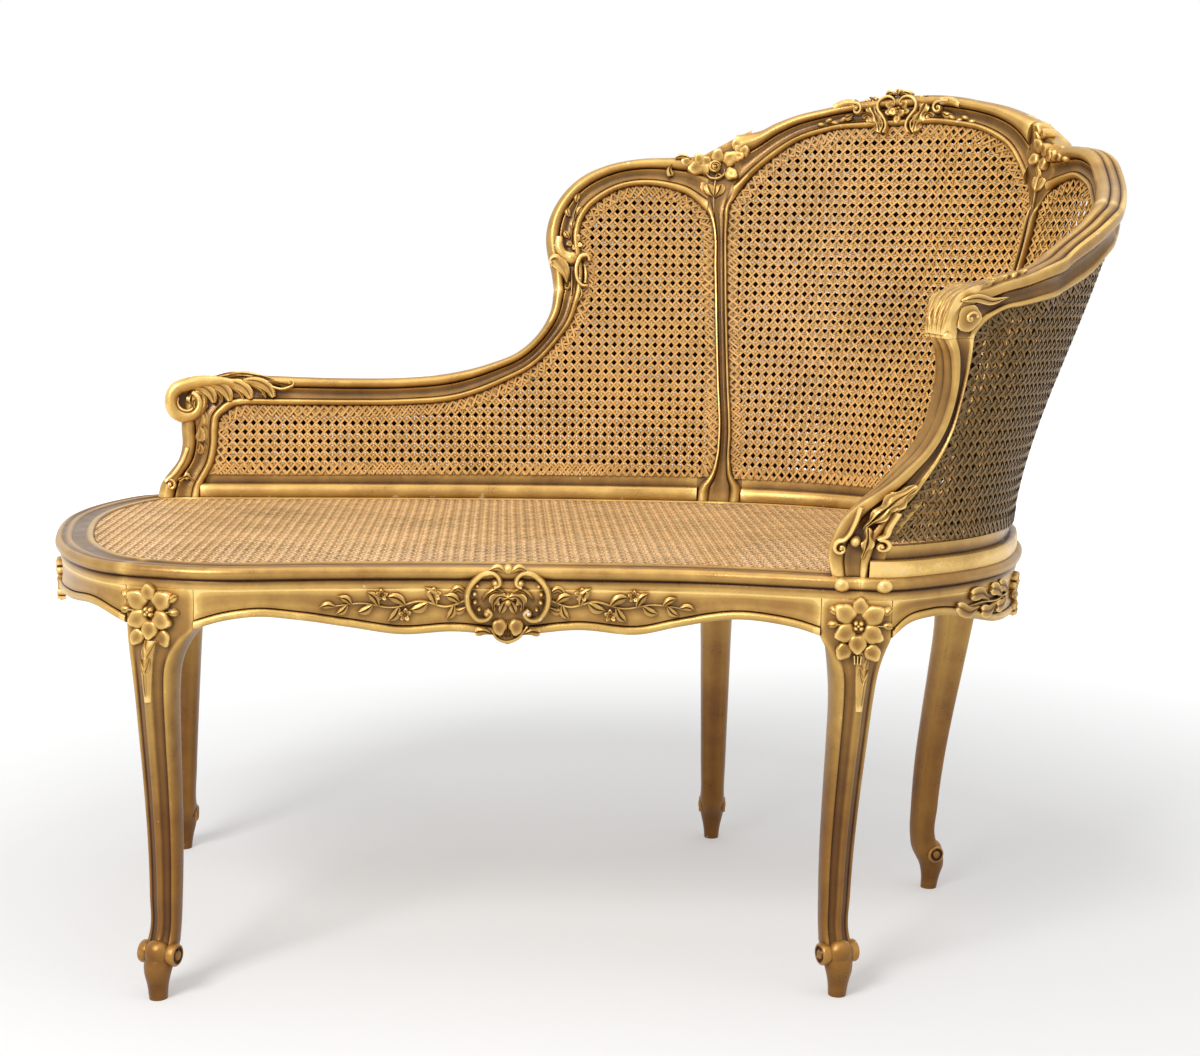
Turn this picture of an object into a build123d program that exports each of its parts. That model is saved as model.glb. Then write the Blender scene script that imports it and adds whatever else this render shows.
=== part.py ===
from build123d import *
import math
import os

# Overall sizes of the bench, in millimetres
SEAT_WIDTH = 1040.0
SEAT_DEPTH = 600.0
SEAT_HEIGHT = 430.0
BACK_HEIGHT = 515.0

# Seat frame: a flat ring with a rounded bead round its edge and a rebate for the cane
RING_WIDTH = 39.0
RING_THICKNESS = 22.0
RING_BEAD = 12.0
RING_OVERHANG = 6.0
REBATE_WIDTH = 10.0
REBATE_DROP = 3.8
CANE_THICKNESS = 2.6
CANE_CLEARANCE = 0.9

# Apron rails under the seat frame
APRON_THICKNESS = 24.0
APRON_DEPTH = 45.0
APRON_BEAD = 8.0
APRON_BEAD_RELIEF = 2.5

# Legs
LEG_BLOCK_DEPTH = 48.0
LEG_BLOCK_DROP = 44.0
KNEE_HALF_WIDTH = 26.0
KNEE_HALF_DEPTH = 23.0
ANKLE_SET_IN = 20.0
TOE_SCROLL_RADIUS = 11.0
TOE_SCROLL_HEIGHT = 43.0
TOE_SCROLL_PROUD = 4.0

# Mortise and tenon joints, their pegs and the dowels
TENON_LENGTH = 16.0
TENON_THICKNESS = 9.0
TENON_HEIGHT = 20.0
TENON_SETBACK = 16.0
TENON_TOP_GAP = 6.0
JOINT_CLEARANCE = 0.2
PEG_DIAMETER = 6.0
PEG_LENGTH = 24.0
DOWEL_DIAMETER = 8.0
DOWEL_LENGTH = 22.0
GLUE_BLOCK_LENGTH = 26.0
GLUE_BLOCK_THICKNESS = 17.0
GLUE_BLOCK_HEIGHT = 24.0

# Back frame: moulded members round the caned panels
BACK_THICKNESS = 34.0
BACK_RAIL_HEIGHT = 16.0
BACK_INSET = 20.0
TONGUE_WIDTH = 9.0
TONGUE_THICKNESS = 11.0
VOLUTE_RADIUS = 25.0
VOLUTE_PROUD = 3.0
FLARE_HEIGHT = 420.0

# Carved relief
RELIEF_HEIGHT = 8.0
RELIEF_SINK = 7.0
FLOWER_RADIUS = 25.0
CARTOUCHE_WIDTH = 78.0
CARTOUCHE_HEIGHT = 68.0
CREST_CARTOUCHE_WIDTH = 72.0
CREST_CARTOUCHE_HEIGHT = 44.0
SPRAY_LENGTH = 132.0
LEAF_LENGTH = 24.0
LEAF_WIDTH = 11.0
STEM_WIDTH = 4.0
CARVED_END = 52.0
END_CARTOUCHE_WIDTH = 46.0
END_CARTOUCHE_HEIGHT = 44.0
END_SPRAY_LENGTH = 62.0

# Openings in the caned seat, which stand for its fine mesh
SEAT_OPENINGS = 12
SEAT_OPENING_SHARE = 0.58
SEAT_OPENING_BORDER = 16.0

RING_BOTTOM = SEAT_HEIGHT - RING_THICKNESS
BLOCK_BOTTOM = RING_BOTTOM - LEG_BLOCK_DROP

# Outline of the seat, counter-clockwise from the front left leg, seen from above.
# Each point is a share of the seat width and of the seat depth. A number along this
# list, with fractions between the points, is called a station below.
OUTLINE_SHARES = [
    (-0.332, 0.013), (-0.271, -0.008), (-0.181, 0.008), (-0.087, 0.017), (0.0, 0.017),
    (0.087, 0.012), (0.163, 0.0), (0.231, -0.027), (0.288, -0.053), (0.337, -0.063),
    (0.389, -0.020), (0.437, 0.047), (0.473, 0.130), (0.500, 0.242), (0.517, 0.358),
    (0.519, 0.475), (0.504, 0.587), (0.469, 0.687), (0.415, 0.772), (0.341, 0.850),
    (0.240, 0.903), (0.115, 0.922), (-0.019, 0.928), (-0.154, 0.923), (-0.279, 0.913),
    (-0.380, 0.903), (-0.430, 0.880), (-0.458, 0.792), (-0.475, 0.683), (-0.480, 0.558),
    (-0.471, 0.417), (-0.452, 0.267), (-0.423, 0.147), (-0.385, 0.060),
]
STATIONS = len(OUTLINE_SHARES)

# Outward lean of the back at the height FLARE_HEIGHT above the seat: station, lean to the
# right and to the rear as shares of FLARE_HEIGHT, and how much of it is an S curve
LEAN_SHARES = [
    (8.5, 0.107, 0.029, 0.8), (10.0, 0.119, 0.024, 0.9), (11.5, 0.176, 0.0, 1.0),
    (13.0, 0.240, -0.019, 1.0), (14.5, 0.250, 0.019, 1.0), (16.0, 0.210, 0.114, 0.9),
    (17.5, 0.148, 0.179, 0.7), (19.0, 0.083, 0.210, 0.5), (20.5, 0.024, 0.214, 0.4),
    (22.0, 0.0, 0.202, 0.3), (24.0, -0.012, 0.179, 0.3), (25.5, -0.029, 0.155, 0.3),
    (27.0, -0.036, 0.143, 0.3),
]

# Edges of each back member, from one end to the other: station and height share of the
# free edge, then station and height share of the edge beside the cane
POST_LEFT_SHARES = [
    (25.80, 0.0, 24.85, 0.0), (25.68, 0.023, 24.82, 0.023), (25.46, 0.045, 24.74, 0.049),
    (25.20, 0.078, 24.67, 0.078), (25.11, 0.117, 24.63, 0.117), (25.12, 0.159, 24.62, 0.156),
    (25.10, 0.194, 24.60, 0.178), (25.00, 0.240, 24.52, 0.192), (24.75, 0.272, 24.45, 0.202),
    (24.45, 0.280, 24.36, 0.208),
]
LOW_ARM_SHARES = [
    (24.45, 0.280, 24.36, 0.208), (24.00, 0.276, 24.00, 0.208), (23.30, 0.272, 23.30, 0.208),
    (22.85, 0.274, 22.85, 0.210), (22.45, 0.285, 22.38, 0.223), (22.10, 0.309, 21.98, 0.264),
    (21.86, 0.336, 21.72, 0.303), (21.68, 0.381, 21.53, 0.357), (21.58, 0.431, 21.40, 0.408),
    (21.55, 0.485, 21.32, 0.474),
]
SHOULDER_SHARES = [
    (21.55, 0.485, 21.32, 0.474), (21.57, 0.525, 21.30, 0.520), (21.61, 0.575, 21.32, 0.563),
    (21.62, 0.615, 21.34, 0.606), (21.58, 0.664, 21.32, 0.645), (21.48, 0.713, 21.25, 0.678),
    (21.32, 0.755, 21.13, 0.705), (21.12, 0.781, 21.00, 0.724), (20.84, 0.798, 20.80, 0.734),
    (20.55, 0.802, 20.55, 0.726), (20.40, 0.804, 20.40, 0.713), (20.20, 0.807, 20.20, 0.672),
]
STILE_LEFT_SHARES = [
    (20.22, 0.0, 19.74, 0.0), (20.20, 0.029, 19.74, 0.031), (20.11, 0.052, 19.82, 0.050),
    (20.04, 0.093, 19.87, 0.089), (20.02, 0.150, 19.875, 0.150), (20.055, 0.272, 19.92, 0.272),
    (20.09, 0.398, 19.96, 0.398), (20.12, 0.524, 19.99, 0.524), (20.16, 0.643, 20.00, 0.656),
    (20.20, 0.670, 19.985, 0.690), (20.268, 0.691, 19.90, 0.725),
]
STILE_LEFT_HEAD_SHARES = [(20.268, 0.691, 19.90, 0.725), (20.268, 0.806, 19.90, 0.860)]
CREST_SHARES = [
    (19.96, 0.857, 19.96, 0.705), (19.74, 0.868, 19.76, 0.769), (19.60, 0.886, 19.55, 0.814),
    (19.40, 0.905, 19.36, 0.843), (19.00, 0.924, 18.97, 0.868), (18.50, 0.940, 18.50, 0.874),
    (18.10, 0.946, 18.08, 0.878), (17.70, 0.946, 17.70, 0.880), (17.35, 0.940, 17.35, 0.874),
    (17.00, 0.928, 16.98, 0.862), (16.74, 0.917, 16.74, 0.843), (16.50, 0.901, 16.53, 0.817),
    (16.17, 0.876, 16.20, 0.740),
]
STILE_RIGHT_SHARES = [
    (16.25, 0.0, 15.72, 0.0), (16.22, 0.031, 15.74, 0.031), (16.12, 0.050, 15.82, 0.050),
    (16.07, 0.093, 15.86, 0.093), (16.05, 0.175, 15.85, 0.175), (16.02, 0.330, 15.83, 0.330),
    (16.00, 0.524, 15.80, 0.524), (15.97, 0.608, 15.78, 0.621), (16.03, 0.691, 15.74, 0.691),
    (16.11, 0.724, 15.67, 0.710), (16.25, 0.765, 15.55, 0.728),
]
STILE_RIGHT_HEAD_SHARES = [(16.25, 0.765, 15.55, 0.728), (16.25, 0.882, 15.55, 0.821)]
CREST_RIGHT_SHARES = [
    (15.62, 0.824, 15.62, 0.722), (15.35, 0.817, 15.36, 0.738), (15.10, 0.813, 15.10, 0.746),
    (14.80, 0.800, 14.80, 0.730), (14.40, 0.769, 14.42, 0.701), (14.00, 0.742, 14.05, 0.674),
    (13.50, 0.715, 13.60, 0.645), (13.00, 0.691, 13.10, 0.614),
]
ARM_SHARES = [
    (13.00, 0.691, 13.10, 0.614), (12.60, 0.668, 12.70, 0.586), (12.30, 0.643, 12.38, 0.555),
    (11.90, 0.614, 12.00, 0.532), (11.50, 0.588, 11.50, 0.513), (11.10, 0.569, 11.03, 0.499),
    (10.75, 0.551, 10.73, 0.491), (10.40, 0.538, 10.46, 0.485), (10.04, 0.526, 10.27, 0.474),
    (9.70, 0.520, 10.14, 0.464), (9.42, 0.501, 10.05, 0.451), (9.33, 0.466, 9.99, 0.442),
    (9.36, 0.435, 9.97, 0.435),
]
ARM_POST_SHARES = [
    (9.36, 0.4345, 9.97, 0.4345), (9.50, 0.417, 9.97, 0.417), (9.67, 0.369, 9.965, 0.379),
    (9.71, 0.315, 9.93, 0.318), (9.60, 0.266, 9.88, 0.266), (9.35, 0.225, 9.74, 0.219),
    (9.00, 0.194, 9.58, 0.184), (8.60, 0.165, 9.38, 0.146), (8.25, 0.138, 9.15, 0.118),
    (8.03, 0.113, 8.95, 0.097), (7.82, 0.068, 8.68, 0.064), (7.77, 0.035, 8.55, 0.031),
    (7.85, 0.0, 8.52, 0.0),
]

# Section of a moulded back member: share across from the free edge to the cane edge, and
# share of the thickness in front of the middle. A thick outer bead, a hollow, an inner bead.
MOULDING_SHARES = [
    (0.0, -0.34), (0.0, 0.30), (0.07, 0.44), (0.17, 0.50), (0.28, 0.44), (0.34, 0.30),
    (0.52, 0.25), (0.68, 0.29), (0.76, 0.40), (0.88, 0.43), (1.0, 0.32),
]
BACK_EDGE_SHARES = [(1.0, -0.44), (0.12, -0.44)]
# Section of an upright between two panels, with a bead and a tongue on both sides
STILE_SHARES = [
    (0.0, 0.30), (0.06, 0.44), (0.18, 0.50), (0.30, 0.44), (0.38, 0.32), (0.62, 0.32),
    (0.70, 0.44), (0.82, 0.50), (0.94, 0.44), (1.0, 0.30),
]
STILE_BACK_SHARES = [(1.0, -0.40), (0.75, -0.46), (0.25, -0.46), (0.0, -0.40)]
PLAIN_SHARES = [(0.0, -0.44), (0.0, 0.44), (0.70, 0.46), (1.0, 0.40)]
PLAIN_BACK_SHARES = [(1.0, -0.44)]

# How far the apron reaches down along the outline: station, share of the apron depth
FRONT_APRON_SHARES = [
    (0.63, 0.84), (1.10, 0.63), (1.40, 0.57), (1.80, 0.66), (2.30, 0.83), (2.76, 0.98),
    (3.28, 0.92), (3.90, 1.0), (4.62, 0.87), (5.28, 0.95), (5.75, 0.77), (6.50, 0.55),
    (7.05, 0.60), (7.35, 0.67), (7.70, 0.80),
]
RIGHT_APRON_SHARES = [
    (9.03, 0.80), (9.3, 0.55), (9.8, 0.42), (10.5, 0.50), (11.5, 0.80), (12.4, 0.86),
    (13.3, 0.80), (14.3, 0.55), (15.0, 0.55), (15.5, 0.80),
]
REAR_RIGHT_APRON_SHARES = [
    (16.40, 0.80), (16.8, 0.55), (17.6, 0.60), (18.2, 0.80), (18.8, 0.60), (19.4, 0.55),
    (19.75, 0.80),
]
REAR_LEFT_APRON_SHARES = [
    (20.25, 0.80), (20.7, 0.55), (21.5, 0.62), (22.5, 0.90), (23.5, 0.62), (24.3, 0.55),
    (24.65, 0.80),
]
LEFT_APRON_SHARES = [
    (25.35, 0.80), (25.8, 0.55), (26.6, 0.55), (27.5, 0.70), (29.0, 0.88), (30.5, 0.75),
    (31.8, 0.62), (32.8, 0.55), (33.45, 0.80),
]

# Caned panels as upright ribs: station, then height shares of the lower and upper end.
# A lower end of zero means the top of the bottom rail.
PANEL_LEVEL_SHARES = (0.0, 0.3, 0.65, 1.0)
LEFT_PANEL_SHARES = [
    (24.73, 0.0, 0.046), (24.66, 0.0, 0.100), (24.61, 0.0, 0.172), (24.50, 0.0, 0.190),
    (24.36, 0.0, 0.205), (24.00, 0.0, 0.205), (23.30, 0.0, 0.205), (22.85, 0.0, 0.207),
    (22.38, 0.0, 0.220), (21.98, 0.0, 0.260), (21.72, 0.0, 0.299), (21.53, 0.0, 0.352),
    (21.40, 0.0, 0.402), (21.335, 0.0, 0.440), (21.29, 0.0, 0.655), (21.25, 0.0, 0.674),
    (21.13, 0.0, 0.701), (21.00, 0.0, 0.720), (20.80, 0.0, 0.730), (20.55, 0.0, 0.722),
    (20.40, 0.0, 0.709), (20.28, 0.0, 0.688), (20.20, 0.037, 0.664), (20.165, 0.042, 0.635),
    (20.125, 0.055, 0.500), (20.10, 0.065, 0.390), (20.065, 0.085, 0.250),
]
CENTRE_PANEL_SHARES = [
    (19.985, 0.530, 0.680), (19.95, 0.400, 0.700), (19.91, 0.270, 0.717),
    (19.87, 0.150, 0.734), (19.855, 0.090, 0.740), (19.81, 0.055, 0.752),
    (19.74, 0.037, 0.770), (19.55, 0.0, 0.810), (19.36, 0.0, 0.839), (18.97, 0.0, 0.864),
    (18.50, 0.0, 0.870), (18.08, 0.0, 0.874), (17.70, 0.0, 0.876), (17.35, 0.0, 0.870),
    (16.98, 0.0, 0.858), (16.74, 0.0, 0.839), (16.53, 0.0, 0.812), (16.30, 0.0, 0.766),
    (16.22, 0.037, 0.748), (16.13, 0.055, 0.722), (16.09, 0.100, 0.700),
    (16.065, 0.180, 0.690), (16.04, 0.300, 0.680),
]
RIGHT_PANEL_SHARES = [
    (15.84, 0.100, 0.220), (15.82, 0.065, 0.380), (15.77, 0.045, 0.600), (15.71, 0.037, 0.690),
    (15.65, 0.0, 0.705), (15.54, 0.0, 0.723), (15.36, 0.0, 0.734), (15.10, 0.0, 0.742),
    (14.80, 0.0, 0.726), (14.42, 0.0, 0.697), (14.05, 0.0, 0.670), (13.60, 0.0, 0.641),
    (13.10, 0.0, 0.610), (12.70, 0.0, 0.582), (12.38, 0.0, 0.551), (12.00, 0.0, 0.528),
    (11.50, 0.0, 0.509), (11.03, 0.0, 0.495), (10.73, 0.0, 0.487), (10.46, 0.0, 0.481),
    (10.27, 0.0, 0.470), (10.14, 0.0, 0.460), (10.05, 0.0, 0.447), (10.00, 0.0, 0.425),
    (9.945, 0.0, 0.318), (9.90, 0.0, 0.266), (9.76, 0.0, 0.217), (9.60, 0.0, 0.180),
    (9.40, 0.0, 0.143), (9.17, 0.0, 0.114), (8.97, 0.0, 0.092), (8.74, 0.0, 0.060),
]

# Legs: first and last station of the top block, then knee centre and toe centre as
# shares of the seat width and depth, and the direction the knee faces in degrees
LEG_SHARES = {
    "leg_front_left": (33.45, 34.63, -0.333, 0.047, -0.338, 0.020, -111.0),
    "leg_front_right": (7.70, 9.03, 0.307, -0.013, 0.309, 0.020, -72.0),
    "leg_rear_right": (15.50, 16.40, 0.484, 0.562, 0.470, 0.570, 18.0),
    "leg_rear_middle": (19.75, 20.25, 0.237, 0.857, 0.240, 0.897, 84.0),
    "leg_rear_left": (24.65, 25.35, -0.381, 0.850, -0.387, 0.828, 92.0),
}
# Leg profile from the knee to the floor: height share of the leg below the block,
# set in towards the middle as a share of ANKLE_SET_IN, shares of the knee half sizes
LEG_PROFILE_SHARES = [
    (1.0, 0.0, 1.0, 1.0), (0.93, 0.02, 0.90, 0.96), (0.85, 0.10, 0.80, 0.88),
    (0.72, 0.35, 0.73, 0.80), (0.58, 0.65, 0.68, 0.73), (0.42, 0.92, 0.63, 0.67),
    (0.28, 1.0, 0.59, 0.62), (0.17, 0.92, 0.56, 0.60), (0.12, 0.55, 0.60, 0.72),
    (0.08, 0.25, 0.52, 0.62), (0.04, 0.25, 0.40, 0.46), (0.0, 0.30, 0.34, 0.40),
]
# Leg section: share of the half width to one side, share of the half depth outwards
LEG_SECTION_SHARES = [
    (0.0, 1.0), (0.50, 0.72), (1.0, 0.30), (0.85, -0.70), (0.35, -1.0),
    (-0.35, -1.0), (-0.85, -0.70), (-1.0, 0.30), (-0.50, 0.72),
]

APRON_SHARES = {
    "apron_front": FRONT_APRON_SHARES, "apron_right_end": RIGHT_APRON_SHARES,
    "apron_rear_right": REAR_RIGHT_APRON_SHARES, "apron_rear_left": REAR_LEFT_APRON_SHARES,
    "apron_left_end": LEFT_APRON_SHARES,
}
# Ribs of each caned panel and the members round it
PANELS = {
    "left_panel_cane": (LEFT_PANEL_SHARES, ("back_post_left", "low_arm_rail", "shoulder_rail",
                                            "stile_left", "back_rail_left")),
    "centre_panel_cane": (CENTRE_PANEL_SHARES, ("stile_left", "crest_rail", "stile_right",
                                                "back_rail_centre")),
    "right_panel_cane": (RIGHT_PANEL_SHARES, ("stile_right", "crest_rail_right", "arm_rail",
                                              "arm_post", "back_rail_right")),
}
# First and last station of each length of the seat frame and of each low back rail
RING_STATIONS = {
    "seat_frame_front": (-0.55, 8.37), "seat_frame_right": (8.37, 16.0),
    "seat_frame_rear_right": (16.0, 20.0), "seat_frame_rear_left": (20.0, 25.0),
    "seat_frame_left": (25.0, 33.45),
}
BOTTOM_RAILS = {
    "back_rail_left": (20.222, 24.848, ("stile_left", "back_post_left")),
    "back_rail_centre": (16.252, 19.738, ("stile_left", "stile_right")),
    "back_rail_right": (8.522, 15.718, ("stile_right", "arm_post")),
}
# Round edge of the seat frame: inset as a share of the overhang, height as a share of the bead
NOSING_SHARES = [(0.3, 0.15), (0.0, 0.50), (0.25, 0.85)]
# Top and bottom of the apron bead's face, as shares of the bead
APRON_BEAD_SHARES = (0.70, 0.25)
BLOCK_FACE_SHARES = (0.0, 0.33, 0.67, 1.0)
TOE_SCROLL_ROW = 8
SLOPE_STEP = 0.02
APRON_DOWEL_STATIONS = (1.8, 4.3, 6.4, 10.9, 13.6, 18.0, 22.2, 27.5, 30.0, 32.0)
BACK_DOWEL_STATIONS = (25.3, 24.0, 22.7, 21.2, 20.12, 18.8, 17.3, 15.86, 14.4, 12.4, 10.2, 8.2)
VOLUTE_SHARES = (25.04, 0.218)
SPRAY_LEAF_SHARES = [(0.18, 40), (0.18, -40), (0.45, 35), (0.55, -35), (0.80, 25), (0.9, -20)]
CARVED_LEVEL_SHARE = 0.45
BACK_CARVING_SHARE = 0.32
# Flower, as shares of its radius: heart, place of a petal, half length and half width
FLOWER_SHARES = (0.42, 0.55, 0.45, 0.36)
PETALS = 5
KNEE_DROP_SHARES = (1.6, 0.7, 1.3)
GROUP_SHARES = (0.8, 1.3, 0.5, 1.4, 0.4)
# Cartouche, as shares of its width and height: middle, upper and lower scrolls, shell
CARTOUCHE_SHARES = (0.50, 0.42)
UPPER_SCROLL_SHARES = (0.28, 0.30, 0.16)
LOWER_SCROLL_SHARES = (0.34, 0.22, 0.14)
SHELL_SHARES = (0.40, 0.24, 0.16)
ACANTHUS_SHARES = (1.9, 1.6, 0.6)
ACANTHUS_LOBE_SHARES = (0.0, 0.4, 0.8)
# Carvings on the aprons and knees: outline, station, drop as a share of FLOWER_RADIUS and
# the pieces that carry it
APRON_CARVINGS = {
    "apron_cartouche": ("cartouche", 3.90, 0.0, ("apron_front", "seat_frame_front")),
    "apron_spray_left": ("spray_left", 3.45, 0.0, ("apron_front",)),
    "apron_spray_right": ("spray_right", 4.33, 0.0, ("apron_front",)),
    "knee_flower_left": ("flower", 34.0, 0.3, ("leg_front_left", "seat_frame_front")),
    "knee_flower_right": ("flower", 8.37, 0.3, ("leg_front_right", "seat_frame_front")),
    "end_spray": ("short", 12.5, 0.1, ("apron_right_end",)),
    "end_cartouche_right": ("small", 13.0, 0.0, ("apron_right_end", "seat_frame_right")),
    "end_cartouche_left": ("small", 31.0, 0.0, ("apron_left_end", "seat_frame_left")),
}
# Carvings on the back: outline, station, height share, turn in degrees and hosts
BACK_CARVINGS = {
    "crest_cartouche": ("crest", 18.10, 0.925, 0.0, ("crest_rail",)),
    "stile_flowers_left": ("group", 20.08, 0.790, 8.0,
                           ("stile_left", "shoulder_rail", "crest_rail")),
    "stile_flowers_right": ("group", 15.90, 0.800, -10.0,
                            ("stile_right", "crest_rail", "crest_rail_right")),
    "shoulder_leaf": ("leaf", 21.44, 0.520, -86.0,
                      ("left_panel_cane_inner", "low_arm_rail", "shoulder_rail")),
    "volute_leaf": ("leaf", 24.55, 0.255, 0.0, ("back_post_left", "low_arm_rail")),
    "arm_scroll_leaf": ("leaf", 9.95, 0.490, 4.0, ("arm_rail", "arm_post")),
    "arm_foot_leaf": ("leaf", 8.50, 0.085, 58.0,
                      ("arm_post", "seat_frame_front", "back_rail_right",
                       "right_panel_cane_inner")),
}


def outline_point(station):
    """Point, unit tangent and unit outward normal of the seat outline at a station."""
    index = math.floor(station)
    along = station - index
    near = []
    for step in (-1, 0, 1, 2):
        x_share, y_share = OUTLINE_SHARES[(index + step) % STATIONS]
        near.append((x_share * SEAT_WIDTH, y_share * SEAT_DEPTH))
    point = []
    slope = []
    for axis in (0, 1):
        before, start, end, after = [corner[axis] for corner in near]
        leave = (end - before) / 2
        arrive = (after - start) / 2
        cubic = 2 * start - 2 * end + leave + arrive
        square = 3 * end - 3 * start - 2 * leave - arrive
        point.append(start + leave * along + square * along**2 + cubic * along**3)
        slope.append(leave + 2 * square * along + 3 * cubic * along**2)
    size = math.hypot(slope[0], slope[1])
    tangent = Vector(slope[0] / size, slope[1] / size, 0)
    normal = Vector(tangent.Y, -tangent.X, 0)
    return Vector(point[0], point[1], 0), tangent, normal


def inset_point(station, inset, height):
    """Point inside the outline by an inset, at a height."""
    point, _, normal = outline_point(station)
    return point - normal * inset + Vector(0, 0, height)


def lean_at(station):
    """Lean to the right and rear, and the S share, at a station."""
    if station <= LEAN_SHARES[0][0]:
        return LEAN_SHARES[0][1:]
    for low, high in zip(LEAN_SHARES, LEAN_SHARES[1:]):
        if station <= high[0]:
            part = (station - low[0]) / (high[0] - low[0])
            ease = part * part * (3 - 2 * part)
            return tuple(a + (b - a) * ease for a, b in zip(low[1:], high[1:]))
    return LEAN_SHARES[-1][1:]


def back_point(station, height_share):
    """Point on the middle surface of the back."""
    rise = height_share * BACK_HEIGHT
    lean_x, lean_y, s_share = lean_at(station)
    part = rise / FLARE_HEIGHT
    held = min(max(part, 0), 1)
    grow = (1 - s_share) * part + s_share * held * held * (3 - 2 * held)
    foot = inset_point(station, BACK_INSET, SEAT_HEIGHT + rise)
    return foot + Vector(lean_x, lean_y, 0) * (FLARE_HEIGHT * grow)


def back_normal(station, height_share):
    """Unit normal of the back's middle surface, towards the sitter."""
    step = SLOPE_STEP
    side = back_point(station + step, height_share) - back_point(station - step, height_share)
    up = back_point(station, height_share + step) - back_point(station, height_share - step)
    return side.cross(up).normalized() * -1


def solid_of(shape):
    """The one solid that a shape holds."""
    return shape.solids()[0]


def loft_sections(sections, ruled=False):
    """Solid through closed sections, each a list of points."""
    wires = [Wire.make_polygon(points, close=True) for points in sections]
    return solid_of(Solid.make_loft(wires, ruled))


def ring_band(first, last, profile):
    """Band along the outline through a profile of (inset, height) points."""
    steps = max(3, math.ceil((last - first) * 2))
    sections = []
    for step in range(steps + 1):
        station = first + (last - first) * step / steps
        sections.append([inset_point(station, inset, height) for inset, height in profile])
    return loft_sections(sections)


def seat_ring(first, last):
    """One length of the seat frame, with its bead and the rebate under the cane."""
    top = SEAT_HEIGHT
    bead_low = top - RING_BEAD
    rebate = top - REBATE_DROP
    inner = RING_WIDTH + REBATE_WIDTH
    profile = [(RING_OVERHANG, RING_BOTTOM), (RING_OVERHANG, bead_low)]
    profile += [(RING_OVERHANG * out, bead_low + RING_BEAD * up) for out, up in NOSING_SHARES]
    profile += [(RING_OVERHANG, top), (RING_WIDTH, top), (RING_WIDTH, rebate)]
    profile += [(inner, rebate), (inner, RING_BOTTOM)]
    return ring_band(first, last, profile)


def apron(drop_shares):
    """Shaped rail under the seat frame, with a bead along its lower edge."""
    front = RING_OVERHANG
    rear = RING_OVERHANG + APRON_THICKNESS
    proud = front - APRON_BEAD_RELIEF
    sections = []
    for station, share in drop_shares:
        low = RING_BOTTOM - APRON_DEPTH * share
        profile = [(front, RING_BOTTOM), (front, low + APRON_BEAD)]
        profile += [(proud, low + APRON_BEAD * up) for up in APRON_BEAD_SHARES]
        profile += [(front, low), (rear, low), (rear, RING_BOTTOM)]
        sections.append([inset_point(station, inset, height) for inset, height in profile])
    return loft_sections(sections)


def tenon_box(station, direction, clearance):
    """Tenon that leaves an apron at a station; direction is +1 or -1 along the outline."""
    point, tangent, normal = outline_point(station)
    middle = RING_BOTTOM - TENON_TOP_GAP - TENON_HEIGHT / 2
    reach = TENON_LENGTH + 2 * clearance
    root = TENON_LENGTH
    centre = point - normal * (TENON_SETBACK + TENON_THICKNESS / 2)
    centre = centre + tangent * (direction * (reach - root) / 2) + Vector(0, 0, middle)
    plane = Plane(origin=centre, x_dir=tangent, z_dir=Vector(0, 0, 1))
    box = Box(reach + root, TENON_THICKNESS + 2 * clearance, TENON_HEIGHT + 2 * clearance)
    return plane * box


def tenon_peg(station, direction):
    """Peg across a tenon, from the inner side of the leg block."""
    point, tangent, normal = outline_point(station)
    middle = RING_BOTTOM - TENON_TOP_GAP - TENON_HEIGHT / 2
    start = point - normal * LEG_BLOCK_DEPTH + tangent * direction * TENON_LENGTH / 2
    plane = Plane(origin=start + Vector(0, 0, middle), z_dir=normal)
    peg = Cylinder(PEG_DIAMETER / 2, PEG_LENGTH, align=(Align.CENTER, Align.CENTER, Align.MIN))
    return plane * peg


def leg_block(first, last):
    """Square top of a leg between two aprons."""
    outer = [first + (last - first) * share for share in BLOCK_FACE_SHARES]
    corners = [inset_point(station, RING_OVERHANG, BLOCK_BOTTOM) for station in outer]
    corners.append(inset_point(last, LEG_BLOCK_DEPTH, BLOCK_BOTTOM))
    corners.append(inset_point(first, LEG_BLOCK_DEPTH, BLOCK_BOTTOM))
    face = Face(Wire.make_polygon(corners, close=True))
    return solid_of(extrude(face, LEG_BLOCK_DROP, dir=(0, 0, 1)))


def leg_shaft(knee, toe, facing):
    """Curved shaft of a leg from its block down to the toe."""
    out = Vector(math.cos(math.radians(facing)), math.sin(math.radians(facing)), 0)
    side = Vector(-out.Y, out.X, 0)
    sections = []
    for height, set_in, wide, deep in LEG_PROFILE_SHARES:
        centre = knee * height + toe * (1 - height) - out * (ANKLE_SET_IN * set_in)
        points = []
        for across, outward in LEG_SECTION_SHARES:
            point = centre + side * (across * wide * KNEE_HALF_WIDTH)
            point = point + out * (outward * deep * KNEE_HALF_DEPTH)
            points.append(Vector(point.X, point.Y, height * BLOCK_BOTTOM))
        sections.append(points)
    return loft_sections(sections)


def toe_scroll(knee, toe, facing):
    """Rolled scroll across the foot, just above the toe."""
    out = Vector(math.cos(math.radians(facing)), math.sin(math.radians(facing)), 0)
    side = Vector(-out.Y, out.X, 0)
    height = TOE_SCROLL_HEIGHT / BLOCK_BOTTOM
    centre = knee * height + toe * (1 - height)
    centre = Vector(centre.X, centre.Y, TOE_SCROLL_HEIGHT)
    length = 2 * (KNEE_HALF_WIDTH * LEG_PROFILE_SHARES[TOE_SCROLL_ROW][2] + TOE_SCROLL_PROUD)
    return Plane(origin=centre, z_dir=side) * Cylinder(TOE_SCROLL_RADIUS, length)


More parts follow.
